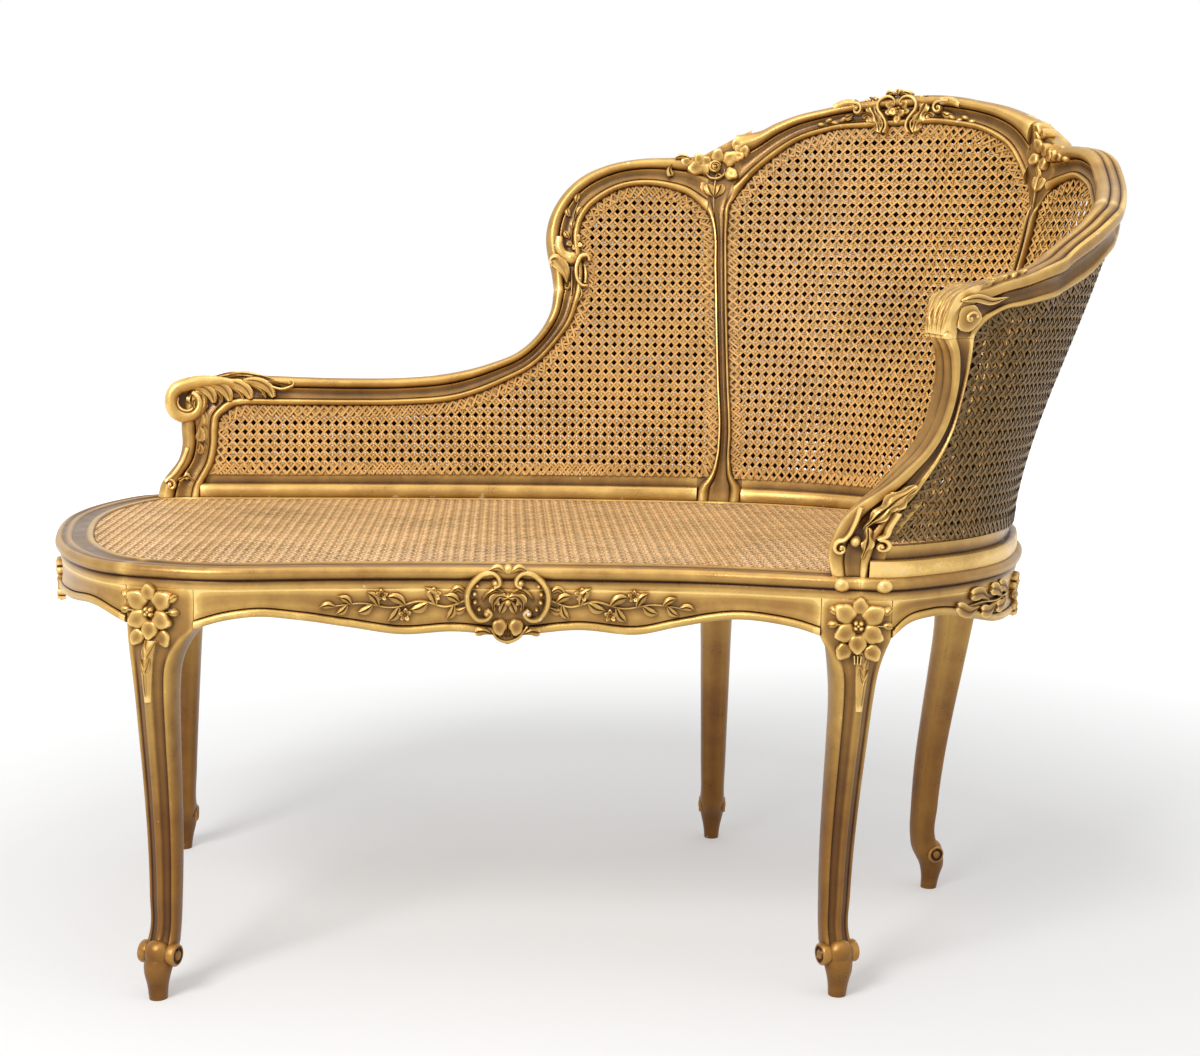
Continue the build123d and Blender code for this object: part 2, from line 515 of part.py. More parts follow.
def make_leg(shares):
    """One leg: block, shaft and toe scroll, mortised for the two aprons."""
    first, last, knee_x, knee_y, toe_x, toe_y, facing = shares
    knee = Vector(knee_x * SEAT_WIDTH, knee_y * SEAT_DEPTH, 0)
    toe = Vector(toe_x * SEAT_WIDTH, toe_y * SEAT_DEPTH, 0)
    leg = leg_block(first, last) + leg_shaft(knee, toe, facing) + toe_scroll(knee, toe, facing)
    for station, direction in ((first, 1), (last, -1)):
        leg = leg - tenon_box(station, direction, JOINT_CLEARANCE)
        leg = leg - tenon_peg(station, direction)
    return solid_of(leg)


def member_section(row, level=False):
    """Frame for one section of a back member: edge points and the normal between them."""
    free_station, free_height, cane_station, cane_height = row
    free_edge = back_point(free_station, free_height)
    cane_edge = back_point(cane_station, cane_height)
    normal = back_normal((free_station + cane_station) / 2, (free_height + cane_height) / 2)
    if level:
        normal = Vector(normal.X, normal.Y, 0).normalized()
    return free_edge, cane_edge, normal


def member_points(row, front, back, level=False):
    """Points of one section: moulded front, tongue under the cane, flat rear."""
    free_edge, cane_edge, normal = member_section(row, level)
    across = cane_edge - free_edge
    inward = across.normalized()
    half = TONGUE_THICKNESS / 2
    points = []
    for share, depth in front:
        points.append(free_edge + across * share + normal * (depth * BACK_THICKNESS))
    tip = cane_edge + inward * TONGUE_WIDTH
    points.append(cane_edge + normal * half)
    points.append(tip + normal * half)
    points.append(tip - normal * half)
    points.append(cane_edge - normal * half)
    for share, depth in back:
        points.append(free_edge + across * share + normal * (depth * BACK_THICKNESS))
    return points


def back_member(rows, level_ends=(), ruled=False):
    """Moulded member of the back through its rows of edge points."""
    sections = []
    for index, row in enumerate(rows):
        level = index in level_ends
        sections.append(member_points(row, MOULDING_SHARES, BACK_EDGE_SHARES, level))
    return loft_sections(sections, ruled)


def stile(rows):
    """Upright between two caned panels, its rows from the seat frame to the crest."""
    half = TONGUE_THICKNESS / 2
    sections = []
    for index, row in enumerate(rows):
        left_edge, right_edge, normal = member_section(row, index < 2)
        across = right_edge - left_edge
        reach = across.normalized() * TONGUE_WIDTH
        points = [left_edge + across * share + normal * (depth * BACK_THICKNESS)
                  for share, depth in STILE_SHARES]
        points += [right_edge + normal * half, right_edge + reach + normal * half]
        points += [right_edge + reach - normal * half, right_edge - normal * half]
        points += [left_edge + across * share + normal * (depth * BACK_THICKNESS)
                   for share, depth in STILE_BACK_SHARES]
        points += [left_edge - normal * half, left_edge - reach - normal * half]
        points += [left_edge - reach + normal * half, left_edge + normal * half]
        sections.append(points)
    return loft_sections(sections, True)


def stile_head(rows):
    """Solid head of an upright, between the rails that butt against it."""
    sections = []
    for row in rows:
        left_edge, right_edge, normal = member_section(row)
        across = right_edge - left_edge
        sections.append([left_edge + across * share + normal * (depth * BACK_THICKNESS)
                         for share, depth in STILE_SHARES + STILE_BACK_SHARES])
    return loft_sections(sections, True)


def bottom_rail(first, last):
    """Low rail of the back that stands on the seat frame."""
    steps = max(3, math.ceil(abs(last - first) * 2))
    half = TONGUE_THICKNESS / 2
    top_share = BACK_RAIL_HEIGHT / BACK_HEIGHT
    tip_share = (BACK_RAIL_HEIGHT + TONGUE_WIDTH) / BACK_HEIGHT
    sections = []
    for step in range(steps + 1):
        station = first + (last - first) * step / steps
        foot, top, normal = member_section((station, 0, station, top_share), True)
        tip = top + (top - foot) * (tip_share / top_share - 1)
        points = [foot + (top - foot) * share + normal * (depth * BACK_THICKNESS)
                  for share, depth in PLAIN_SHARES]
        points += [top + normal * half, tip + normal * half]
        points += [tip - normal * half, top - normal * half]
        points += [foot + (top - foot) * share + normal * (depth * BACK_THICKNESS)
                   for share, depth in PLAIN_BACK_SHARES]
        sections.append(points)
    return loft_sections(sections)


def volute(station, height_share):
    """Rolled end of the low arm."""
    centre = back_point(station, height_share)
    normal = back_normal(station, height_share)
    roll = Cylinder(VOLUTE_RADIUS, BACK_THICKNESS + 2 * VOLUTE_PROUD)
    return Plane(origin=centre, z_dir=normal) * roll


def cane_sheet(ribs, side):
    """Caned panel in its rebate. Each rib is a station, a low and a high height share.
    side is +1 for the sitter's side and -1 for the outside."""
    near = TONGUE_THICKNESS / 2 + CANE_CLEARANCE
    far = near + CANE_THICKNESS
    sections = []
    for station, low, high in ribs:
        low = max(low, (BACK_RAIL_HEIGHT + CANE_CLEARANCE) / BACK_HEIGHT)
        levels = [low + (high - low) * share for share in PANEL_LEVEL_SHARES]
        middle = [back_point(station, level) for level in levels]
        normals = [back_normal(station, level) for level in levels]
        flat = (middle[-1] - middle[0]).cross(normals[1]).normalized()
        points = [p + n * (near * side) for p, n in zip(middle, normals)]
        points += [p + n * (far * side) for p, n in reversed(list(zip(middle, normals)))]
        sections.append([p - flat * (p - middle[0]).dot(flat) for p in points])
    return loft_sections(sections, True)


def seat_cane():
    """Flat caned seat in the rebate of the ring, with a plain grid of openings."""
    edge = RING_WIDTH + CANE_CLEARANCE
    points = [inset_point(station / 2, edge, 0) for station in range(2 * STATIONS)]
    border = edge + REBATE_WIDTH + SEAT_OPENING_BORDER
    inner = [inset_point(station / 2, border, 0) for station in range(2 * STATIONS)]
    field = Face(Wire.make_polygon(inner, close=True))
    left = min(point.X for point in inner)
    pitch = (max(point.X for point in inner) - left) / SEAT_OPENINGS
    front = min(point.Y for point in inner)
    rows = math.floor((max(point.Y for point in inner) - front) / pitch)
    size = pitch * SEAT_OPENING_SHARE
    holes = []
    for column in range(SEAT_OPENINGS):
        for row in range(rows):
            x = left + pitch * (column + 0.5)
            y = front + pitch * (row + 0.5)
            corners = [Vector(x + a * size / 2, y + b * size / 2, 0)
                       for a in (-1, 1) for b in (-1, 1)]
            if all(field.is_inside(corner) for corner in corners):
                holes.append(Pos(x, y) * Rectangle(size, size))
    face = Face(Wire.make_polygon(points, close=True)) - holes
    sheet = extrude(face, CANE_THICKNESS, dir=(0, 0, 1))
    return solid_of(Pos(0, 0, SEAT_HEIGHT - REBATE_DROP) * sheet)


def upright_dowel(station, inset, middle):
    """Upright dowel centred at a height."""
    point = inset_point(station, inset, middle)
    return Pos(point.X, point.Y, point.Z) * Cylinder(DOWEL_DIAMETER / 2, DOWEL_LENGTH)


def glue_block(station, direction):
    """Corner block glued behind an apron, against the leg."""
    point, _, _ = outline_point(station)
    beyond, _, _ = outline_point(station + direction)
    part = direction * GLUE_BLOCK_LENGTH / (beyond - point).length
    rear = RING_OVERHANG + APRON_THICKNESS
    top = RING_BOTTOM - JOINT_CLEARANCE
    profile = [
        (rear + JOINT_CLEARANCE, top), (rear + GLUE_BLOCK_THICKNESS, top),
        (rear + GLUE_BLOCK_THICKNESS, top - GLUE_BLOCK_HEIGHT),
        (rear + JOINT_CLEARANCE, top - GLUE_BLOCK_HEIGHT),
    ]
    return ring_band(min(station, station + part), max(station, station + part), profile)


def flower(radius):
    """Outline of an open flower with petals round a heart."""
    heart, place, long, wide = [radius * share for share in FLOWER_SHARES]
    shape = Circle(heart)
    for petal in range(PETALS):
        turn = 90 + 360 / PETALS * petal
        shape = shape + Rot(0, 0, turn) * Pos(place, 0) * Ellipse(long, wide)
    return shape


def leaf(length, width, x, y, turn):
    """Outline of a leaf with its root at a point."""
    return Pos(x, y) * Rot(0, 0, turn) * Pos(length / 2, 0) * Ellipse(length / 2, width / 2)


def spray(length, hand):
    """Outline of a leafy stem that grows sideways; hand is +1 or -1."""
    shape = Pos(hand * length / 2, 0) * Rectangle(length, STEM_WIDTH)
    for share, turn in SPRAY_LEAF_SHARES:
        angle = turn if hand > 0 else 180 - turn
        shape = shape + leaf(LEAF_LENGTH, LEAF_WIDTH, hand * length * share, 0, angle)
    return shape


def knee_flower():
    """Outline of a flower with a drop of buds under it."""
    length, start, width = KNEE_DROP_SHARES
    shape = flower(FLOWER_RADIUS)
    drop = leaf(FLOWER_RADIUS * length, LEAF_WIDTH * width, 0, -FLOWER_RADIUS * start, -90)
    return shape + drop


def cartouche(width, height):
    """Outline of an oval of scrolls round a carved middle."""
    shape = Ellipse(width * CARTOUCHE_SHARES[0], height * CARTOUCHE_SHARES[1])
    for side in (-1, 1):
        across, up, size = UPPER_SCROLL_SHARES
        shape = shape + Pos(side * width * across, height * up) * Circle(height * size)
        across, down, size = LOWER_SCROLL_SHARES
        shape = shape + Pos(side * width * across, -height * down) * Circle(height * size)
    down, wide, high = SHELL_SHARES
    return shape + Pos(0, -height * down) * Ellipse(width * wide, height * high)


def flower_group():
    """Outline of the flowers at the head of a stile."""
    radius, side_leaf, side_start, low_leaf, low_start = GROUP_SHARES
    shape = flower(FLOWER_RADIUS * radius)
    for side, turn in ((-1, 190), (1, 20)):
        start = side * FLOWER_RADIUS * side_start
        shape = shape + leaf(LEAF_LENGTH * side_leaf, LEAF_WIDTH, start, 0, turn)
    return shape + leaf(LEAF_LENGTH * low_leaf, LEAF_WIDTH, 0, -FLOWER_RADIUS * low_start, -90)


def acanthus():
    """Outline of a long leaf with lobes, lying along a rail."""
    length, width, start = ACANTHUS_SHARES
    shape = leaf(CARVED_END * length, LEAF_WIDTH * width, -CARVED_END * start, 0, 0)
    for share in ACANTHUS_LOBE_SHARES:
        shape = shape + leaf(LEAF_LENGTH, LEAF_WIDTH, CARVED_END * share, 0, -35)
    return shape


def carve(shape, place, hosts):
    """Relief of an outline on a surface, trimmed to sit on the pieces that carry it."""
    body = extrude(shape, RELIEF_SINK + RELIEF_HEIGHT, dir=(0, 0, 1))
    body = place * Pos(0, 0, -RELIEF_SINK) * body
    for host in hosts:
        body = body - host
    whole = sorted(body.solids(), key=lambda piece: piece.volume)
    return whole[-1]


def apron_place(station, height):
    """Place on the face of the apron at a station."""
    _, tangent, normal = outline_point(station)
    origin = inset_point(station, RING_OVERHANG, height)
    return Plane(origin=origin, x_dir=tangent, z_dir=normal).location


def back_place(station, height_share, turn):
    """Place on the front of a back member, its X axis turned from level."""
    normal = back_normal(station, height_share)
    origin = back_point(station, height_share) + normal * (BACK_THICKNESS * BACK_CARVING_SHARE)
    level = Vector(0, 0, 1).cross(normal).normalized()
    return Plane(origin=origin, x_dir=level, z_dir=normal).location * Rot(0, 0, turn)


def cut_by(piece, cutters):
    """A piece with every listed cutter taken away, as one solid."""
    for cutter in cutters:
        piece = piece - cutter
    return sorted(piece.solids(), key=lambda body: body.volume)[-1]


def make_seat(nodes):
    """Seat frame, aprons, legs, their pegs, dowels and corner blocks."""
    for name, shares in LEG_SHARES.items():
        nodes[name] = make_leg(shares)
    pegs = []
    blocks = []
    for shares in LEG_SHARES.values():
        for station, direction in ((shares[0], 1), (shares[1], -1)):
            pegs.append(tenon_peg(station, direction))
            blocks.append((station, -direction))
    dowels = {station: upright_dowel(station, RING_OVERHANG + APRON_THICKNESS / 2, RING_BOTTOM)
              for station in APRON_DOWEL_STATIONS}
    back_dowels = {station: upright_dowel(station, BACK_INSET, SEAT_HEIGHT)
                   for station in BACK_DOWEL_STATIONS}
    for name, drop_shares in APRON_SHARES.items():
        first = drop_shares[0][0]
        last = drop_shares[-1][0]
        rail = apron(drop_shares) + tenon_box(first, -1, 0) + tenon_box(last, 1, 0)
        drills = [dowels[s] for s in dowels if first < s < last]
        drills += [tenon_peg(first, -1), tenon_peg(last, 1)]
        nodes[name] = cut_by(rail, drills)
    for name, (first, last) in RING_STATIONS.items():
        drills = [dowels[s] for s in dowels if first - 1 < s < last + 1]
        drills += [back_dowels[s] for s in back_dowels if first - 1 < s < last + 1]
        nodes[name] = cut_by(seat_ring(first, last), drills)
    blocks = [cut_by(glue_block(station, direction), [nodes[name] for name in APRON_SHARES])
              for station, direction in blocks]
    nodes["seat_cane"] = seat_cane()
    nodes["tenon_pegs"] = Compound(pegs)
    nodes["corner_blocks"] = Compound(blocks)
    nodes["apron_dowels"] = Compound(list(dowels.values()))
    nodes["back_dowels"] = Compound(list(back_dowels.values()))
    return back_dowels


def make_back(nodes, back_dowels):
    """Moulded members of the back, its bottom rails and its caned panels."""
    def seated(piece, first, last, others=()):
        pins = [back_dowels[s] for s in back_dowels if first < s < last]
        return cut_by(piece, pins + [nodes[name] for name in others])

    post = back_member(POST_LEFT_SHARES, (0, 1)) + volute(*VOLUTE_SHARES)
    nodes["back_post_left"] = seated(post, POST_LEFT_SHARES[0][2], POST_LEFT_SHARES[0][0])
    for name, rows, head in (("stile_left", STILE_LEFT_SHARES, STILE_LEFT_HEAD_SHARES),
                             ("stile_right", STILE_RIGHT_SHARES, STILE_RIGHT_HEAD_SHARES)):
        nodes[name] = seated(stile(rows) + stile_head(head), rows[0][2], rows[0][0])
    level = len(ARM_POST_SHARES) - 1
    post = back_member(ARM_POST_SHARES, (level - 1, level))
    nodes["arm_post"] = seated(post, ARM_POST_SHARES[level][0], ARM_POST_SHARES[level][2])
    nodes["low_arm_rail"] = cut_by(back_member(LOW_ARM_SHARES), [nodes["back_post_left"]])
    nodes["shoulder_rail"] = cut_by(back_member(SHOULDER_SHARES), [nodes["stile_left"]])
    stiles = [nodes["stile_left"], nodes["stile_right"]]
    nodes["crest_rail"] = cut_by(back_member(CREST_SHARES, (), True), stiles)
    nodes["crest_rail_right"] = cut_by(back_member(CREST_RIGHT_SHARES), stiles)
    nodes["arm_rail"] = cut_by(back_member(ARM_SHARES), [nodes["arm_post"]])
    for name, (first, last, others) in BOTTOM_RAILS.items():
        nodes[name] = seated(bottom_rail(first, last), first, last, others)
    for name, (ribs, edges) in PANELS.items():
        around = [nodes[edge] for edge in edges]
        nodes[name + "_inner"] = cut_by(cane_sheet(ribs, 1), around)
        nodes[name + "_outer"] = cut_by(cane_sheet(ribs, -1), around)


def make_carving(nodes):
    """Carved flowers, leaves, sprays and cartouches on the frame."""
    middle = RING_BOTTOM - APRON_DEPTH * CARVED_LEVEL_SHARE
    outlines = {
        "flower": knee_flower(), "group": flower_group(), "leaf": acanthus(),
        "cartouche": cartouche(CARTOUCHE_WIDTH, CARTOUCHE_HEIGHT),
        "crest": cartouche(CREST_CARTOUCHE_WIDTH, CREST_CARTOUCHE_HEIGHT),
        "small": cartouche(END_CARTOUCHE_WIDTH, END_CARTOUCHE_HEIGHT),
        "spray_left": spray(SPRAY_LENGTH, -1), "spray_right": spray(SPRAY_LENGTH, 1),
        "short": spray(END_SPRAY_LENGTH, -1),
    }
    for name, (outline, station, drop, hosts) in APRON_CARVINGS.items():
        place = apron_place(station, middle - drop * FLOWER_RADIUS)
        nodes[name] = carve(outlines[outline], place, [nodes[host] for host in hosts])
    for name, (outline, station, height, turn, hosts) in BACK_CARVINGS.items():
        place = back_place(station, height, turn)
        nodes[name] = carve(outlines[outline], place, [nodes[host] for host in hosts])


def main():
    """Build every piece, centre the bench on the floor and write one file per piece."""
    nodes = {}
    back_dowels = make_seat(nodes)
    make_back(nodes, back_dowels)
    make_carving(nodes)
    boxes = [shape.bounding_box() for shape in nodes.values()]
    low_x = min(box.min.X for box in boxes)
    high_x = max(box.max.X for box in boxes)
    low_y = min(box.min.Y for box in boxes)
    high_y = max(box.max.Y for box in boxes)
    shift = Pos(-(low_x + high_x) / 2, -(low_y + high_y) / 2, 0)
    print("width", high_x - low_x, "depth", high_y - low_y, "shift", shift.position)
    os.makedirs("parts", exist_ok=True)
    for name, shape in nodes.items():
        export_step(shift * shape, f"parts/{name}.step")


if __name__ == "__main__":
    main()
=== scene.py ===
"""Carved and gilded cane bench: visual model built over its packed construction."""

import math

import bmesh
import bpy
import numpy as np
from mathutils import Matrix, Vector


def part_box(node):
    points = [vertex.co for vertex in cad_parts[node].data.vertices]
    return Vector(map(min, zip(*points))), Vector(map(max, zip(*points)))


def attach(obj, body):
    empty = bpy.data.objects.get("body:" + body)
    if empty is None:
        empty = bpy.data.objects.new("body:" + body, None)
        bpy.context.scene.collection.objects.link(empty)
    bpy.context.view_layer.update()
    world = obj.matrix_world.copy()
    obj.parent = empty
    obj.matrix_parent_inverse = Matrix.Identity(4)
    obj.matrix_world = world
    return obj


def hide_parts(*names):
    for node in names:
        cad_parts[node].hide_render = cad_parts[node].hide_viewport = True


bl_info = {
    "name": "Gilded Cane Bench",
    "version": (1, 0, 0),
    "blender": (4, 5, 0),
    "location": "View3D > Sidebar > Cane Bench",
    "description": "Builds a carved and gilded bench with a caned seat and back",
    "category": "Add Mesh",
}

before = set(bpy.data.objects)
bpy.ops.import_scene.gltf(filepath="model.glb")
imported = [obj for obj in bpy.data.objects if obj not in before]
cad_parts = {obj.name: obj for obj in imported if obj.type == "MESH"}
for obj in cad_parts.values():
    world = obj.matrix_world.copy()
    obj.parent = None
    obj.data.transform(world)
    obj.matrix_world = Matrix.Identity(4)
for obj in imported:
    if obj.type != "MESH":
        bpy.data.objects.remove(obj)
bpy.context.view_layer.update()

# Width and depth of the seat's plan, its height over the floor, and the height over the seat
# that a height share of one stands for, in metres
SEAT_SPAN = np.array((1.040, 0.600))
SEAT_HEIGHT = 0.430
BACK_HEIGHT = 0.515
# Plan of the seat, counter-clockwise from the front left leg, as shares of its span. A number
# along this list, with fractions, is a station.
OUTLINE_SHARES = np.array([
    (-0.332, 0.013), (-0.271, -0.008), (-0.181, 0.008), (-0.087, 0.017), (0.0, 0.017),
    (0.087, 0.012), (0.163, 0.0), (0.231, -0.027), (0.288, -0.053), (0.337, -0.063),
    (0.389, -0.020), (0.437, 0.047), (0.473, 0.130), (0.500, 0.242), (0.517, 0.358),
    (0.519, 0.475), (0.504, 0.587), (0.469, 0.687), (0.415, 0.772), (0.341, 0.850),
    (0.240, 0.903), (0.115, 0.922), (-0.019, 0.928), (-0.154, 0.923), (-0.279, 0.913),
    (-0.380, 0.903), (-0.430, 0.880), (-0.458, 0.792), (-0.475, 0.683), (-0.480, 0.558),
    (-0.471, 0.417), (-0.452, 0.267), (-0.423, 0.147), (-0.385, 0.060),
])
# Outward lean of the back at FLARE_HEIGHT over the seat: station, lean to the right and to
# the rear as shares of that height, and how much of it is an S curve
LEAN_SHARES = np.array([
    (8.5, 0.107, 0.029, 0.8), (10.0, 0.119, 0.024, 0.9), (11.5, 0.176, 0.0, 1.0),
    (13.0, 0.240, -0.019, 1.0), (14.5, 0.250, 0.019, 1.0), (16.0, 0.210, 0.114, 0.9),
    (17.5, 0.148, 0.179, 0.7), (19.0, 0.083, 0.210, 0.5), (20.5, 0.024, 0.214, 0.4),
    (22.0, 0.0, 0.202, 0.3), (24.0, -0.012, 0.179, 0.3), (25.5, -0.029, 0.155, 0.3),
    (27.0, -0.036, 0.143, 0.3),
])
FLARE_HEIGHT = 0.420
BACK_INSET = 0.020
BACK_THICKNESS = 0.034
BACK_RAIL_SHARE = 0.016 / BACK_HEIGHT
TONGUE_HALF = 0.0055
TONGUE_REACH = 0.0125

RING_WIDTH = 0.039
RING_THICKNESS = 0.022
RING_BEAD = 0.012
RING_OVERHANG = 0.006
RING_BOTTOM = SEAT_HEIGHT - RING_THICKNESS
# Gap between the seat frame and the caned seat, in the construction and in the weave
CANE_GAP = 0.0009
WEAVE_GAP = 0.0008
REBATE_DROP = 0.0038
REBATE_WIDTH = 0.010
APRON_THICKNESS = 0.024
APRON_DEPTH = 0.045
APRON_BEAD = 0.008
LEG_BLOCK_DEPTH = 0.048
BLOCK_BOTTOM = RING_BOTTOM - 0.044
KNEE_HALF_WIDTH = 0.026
KNEE_HALF_DEPTH = 0.023
ANKLE_SET_IN = 0.020
# Levels between which a leg goes over from its shaft to its square block
KNEE_EASE = (0.318, 0.370)
PLAIN_TOE = 0.052
PLAIN_TOE_EASE = 0.012
TOE_SCROLL_LEVEL = 0.044
# Radius and half length of the roll across a toe
FRONT_TOE_SCROLL = (0.0112, 0.0195)
REAR_TOE_SCROLL = (0.0100, 0.016)
VOLUTE_RADIUS = 0.025
VOLUTE_PLACE = (25.04, 0.218)

# Rows of the back members: station and height share of the free edge, then of the edge
# beside the cane
POST_LEFT_SHARES = [
    (25.80, 0.0, 24.85, 0.0), (25.68, 0.023, 24.82, 0.023), (25.46, 0.045, 24.74, 0.049),
    (25.20, 0.078, 24.67, 0.078), (25.11, 0.117, 24.63, 0.117), (25.12, 0.159, 24.62, 0.156),
    (25.10, 0.194, 24.60, 0.178), (25.00, 0.240, 24.52, 0.192), (24.75, 0.272, 24.45, 0.202),
    (24.45, 0.280, 24.36, 0.208),
]
LOW_ARM_SHARES = [
    (24.45, 0.280, 24.36, 0.208), (24.00, 0.276, 24.00, 0.208), (23.30, 0.272, 23.30, 0.208),
    (22.85, 0.274, 22.85, 0.210), (22.45, 0.285, 22.38, 0.223), (22.10, 0.309, 21.98, 0.264),
    (21.86, 0.336, 21.72, 0.303), (21.68, 0.381, 21.53, 0.357), (21.58, 0.431, 21.40, 0.408),
    (21.55, 0.485, 21.32, 0.474),
]
SHOULDER_SHARES = [
    (21.55, 0.485, 21.32, 0.474), (21.57, 0.525, 21.30, 0.520), (21.61, 0.575, 21.32, 0.563),
    (21.62, 0.615, 21.34, 0.606), (21.58, 0.664, 21.32, 0.645), (21.48, 0.713, 21.25, 0.678),
    (21.32, 0.755, 21.13, 0.705), (21.12, 0.781, 21.00, 0.724), (20.84, 0.798, 20.80, 0.734),
    (20.55, 0.802, 20.55, 0.726), (20.40, 0.804, 20.40, 0.713), (20.20, 0.807, 20.20, 0.672),
]
STILE_LEFT_SHARES = [
    (20.22, 0.0, 19.74, 0.0), (20.20, 0.029, 19.74, 0.031), (20.11, 0.052, 19.82, 0.050),
    (20.04, 0.093, 19.87, 0.089), (20.02, 0.150, 19.875, 0.150), (20.055, 0.272, 19.92, 0.272),
    (20.09, 0.398, 19.96, 0.398), (20.12, 0.524, 19.99, 0.524), (20.16, 0.643, 20.00, 0.656),
    (20.20, 0.670, 19.985, 0.690), (20.268, 0.691, 19.90, 0.725), (20.268, 0.750, 19.90, 0.795),
    (20.268, 0.806, 19.90, 0.860),
]
CREST_SHARES = [
    (19.96, 0.857, 19.96, 0.705), (19.74, 0.868, 19.76, 0.769), (19.60, 0.886, 19.55, 0.814),
    (19.40, 0.905, 19.36, 0.843), (19.00, 0.924, 18.97, 0.868), (18.50, 0.940, 18.50, 0.874),
    (18.10, 0.946, 18.08, 0.878), (17.70, 0.946, 17.70, 0.880), (17.35, 0.940, 17.35, 0.874),
    (17.00, 0.928, 16.98, 0.862), (16.74, 0.917, 16.74, 0.843), (16.50, 0.901, 16.53, 0.817),
    (16.17, 0.876, 16.20, 0.740),
]
STILE_RIGHT_SHARES = [
    (16.25, 0.0, 15.72, 0.0), (16.22, 0.031, 15.74, 0.031), (16.12, 0.050, 15.82, 0.050),
    (16.07, 0.093, 15.86, 0.093), (16.05, 0.175, 15.85, 0.175), (16.02, 0.330, 15.83, 0.330),
    (16.00, 0.524, 15.80, 0.524), (15.97, 0.608, 15.78, 0.621), (16.03, 0.691, 15.74, 0.691),
    (16.11, 0.724, 15.67, 0.710), (16.25, 0.765, 15.55, 0.728), (16.25, 0.825, 15.55, 0.775),
    (16.25, 0.882, 15.55, 0.821),
]
CREST_RIGHT_SHARES = [
    (15.62, 0.824, 15.62, 0.722), (15.35, 0.817, 15.36, 0.738), (15.10, 0.813, 15.10, 0.746),
    (14.80, 0.800, 14.80, 0.730), (14.40, 0.769, 14.42, 0.701), (14.00, 0.742, 14.05, 0.674),
    (13.50, 0.715, 13.60, 0.645), (13.00, 0.691, 13.10, 0.614),
]
ARM_SHARES = [
    (13.00, 0.691, 13.10, 0.614), (12.60, 0.668, 12.70, 0.586), (12.30, 0.643, 12.38, 0.555),
    (11.90, 0.614, 12.00, 0.532), (11.50, 0.588, 11.50, 0.513), (11.10, 0.569, 11.03, 0.499),
    (10.75, 0.551, 10.73, 0.491), (10.40, 0.538, 10.46, 0.485), (10.04, 0.526, 10.27, 0.474),
    (9.70, 0.520, 10.14, 0.464), (9.42, 0.501, 10.05, 0.451), (9.33, 0.466, 9.99, 0.442),
    (9.36, 0.435, 9.97, 0.435),
]
ARM_POST_SHARES = [
    (9.36, 0.4345, 9.97, 0.4345), (9.50, 0.417, 9.97, 0.417), (9.67, 0.369, 9.965, 0.379),
    (9.71, 0.315, 9.93, 0.318), (9.60, 0.266, 9.88, 0.266), (9.35, 0.225, 9.74, 0.219),
    (9.00, 0.194, 9.58, 0.184), (8.60, 0.165, 9.38, 0.146), (8.25, 0.138, 9.15, 0.118),
    (8.03, 0.113, 8.95, 0.097), (7.82, 0.068, 8.68, 0.064), (7.77, 0.035, 8.55, 0.031),
    (7.85, 0.0, 8.52, 0.0),
]
MEMBERS = {
    "back_post_left": POST_LEFT_SHARES, "low_arm_rail": LOW_ARM_SHARES,
    "shoulder_rail": SHOULDER_SHARES, "crest_rail": CREST_SHARES,
    "crest_rail_right": CREST_RIGHT_SHARES, "arm_rail": ARM_SHARES,
    "arm_post": ARM_POST_SHARES,
}
STILES = {"stile_left": STILE_LEFT_SHARES, "stile_right": STILE_RIGHT_SHARES}
# Moulding across a member, from its free edge to the cane: a thick outer bead, a groove, a
# hollow field and a thin inner bead. Depths are shares of the thickness.
MOULDING_SHARES = [
    (0.0, -0.30), (-0.01, -0.10), (-0.015, 0.12), (0.0, 0.26), (0.045, 0.38), (0.11, 0.455),
    (0.18, 0.485), (0.25, 0.475), (0.31, 0.43), (0.35, 0.37), (0.368, 0.30), (0.382, 0.285),
    (0.40, 0.325), (0.425, 0.335), (0.47, 0.30), (0.54, 0.272), (0.62, 0.275), (0.70, 0.305),
    (0.755, 0.345), (0.77, 0.33), (0.785, 0.37), (0.82, 0.425), (0.87, 0.445), (0.93, 0.42),
    (0.97, 0.36), (0.99, 0.28), (1.0, 0.162),
]
REAR_SHARES = [
    (1.0, -0.162), (0.99, -0.30), (0.95, -0.37), (0.88, -0.40), (0.80, -0.38), (0.77, -0.34),
    (0.70, -0.335), (0.50, -0.37), (0.30, -0.40), (0.12, -0.42), (0.04, -0.39),
]
# The arm shows its outer side and its free edge: three ridges on the edge, and outside a
# thick bead, a hollow and a thin bead beside the cane
ARM_SHARES_ACROSS = [
    (0.03, -0.40), (0.0, -0.30), (0.035, -0.235), (0.055, -0.22), (0.03, -0.19), (-0.01, -0.10),
    (-0.012, 0.0), (0.03, 0.075), (0.055, 0.09), (0.03, 0.115), (-0.01, 0.19), (-0.005, 0.30),
]
ARM_FRONT_SHARES = ARM_SHARES_ACROSS + MOULDING_SHARES[4:]
ARM_REAR_SHARES = [
    (1.0, -0.162), (0.99, -0.29), (0.96, -0.38), (0.90, -0.43), (0.84, -0.43), (0.785, -0.40),
    (0.765, -0.345), (0.745, -0.33), (0.70, -0.31), (0.60, -0.275), (0.50, -0.28), (0.42, -0.315),
    (0.39, -0.335), (0.375, -0.32), (0.355, -0.37), (0.30, -0.425), (0.21, -0.435), (0.10, -0.42),
]
STILE_HALF = [
    (0.0, 0.162), (0.015, 0.29), (0.05, 0.40), (0.11, 0.455), (0.17, 0.46), (0.225, 0.42),
    (0.26, 0.355), (0.275, 0.33), (0.30, 0.345), (0.38, 0.315), (0.50, 0.30),
]
STILE_SHARES = STILE_HALF + [(1 - share, depth) for share, depth in STILE_HALF[-2::-1]]
STILE_FIELD = 0.30
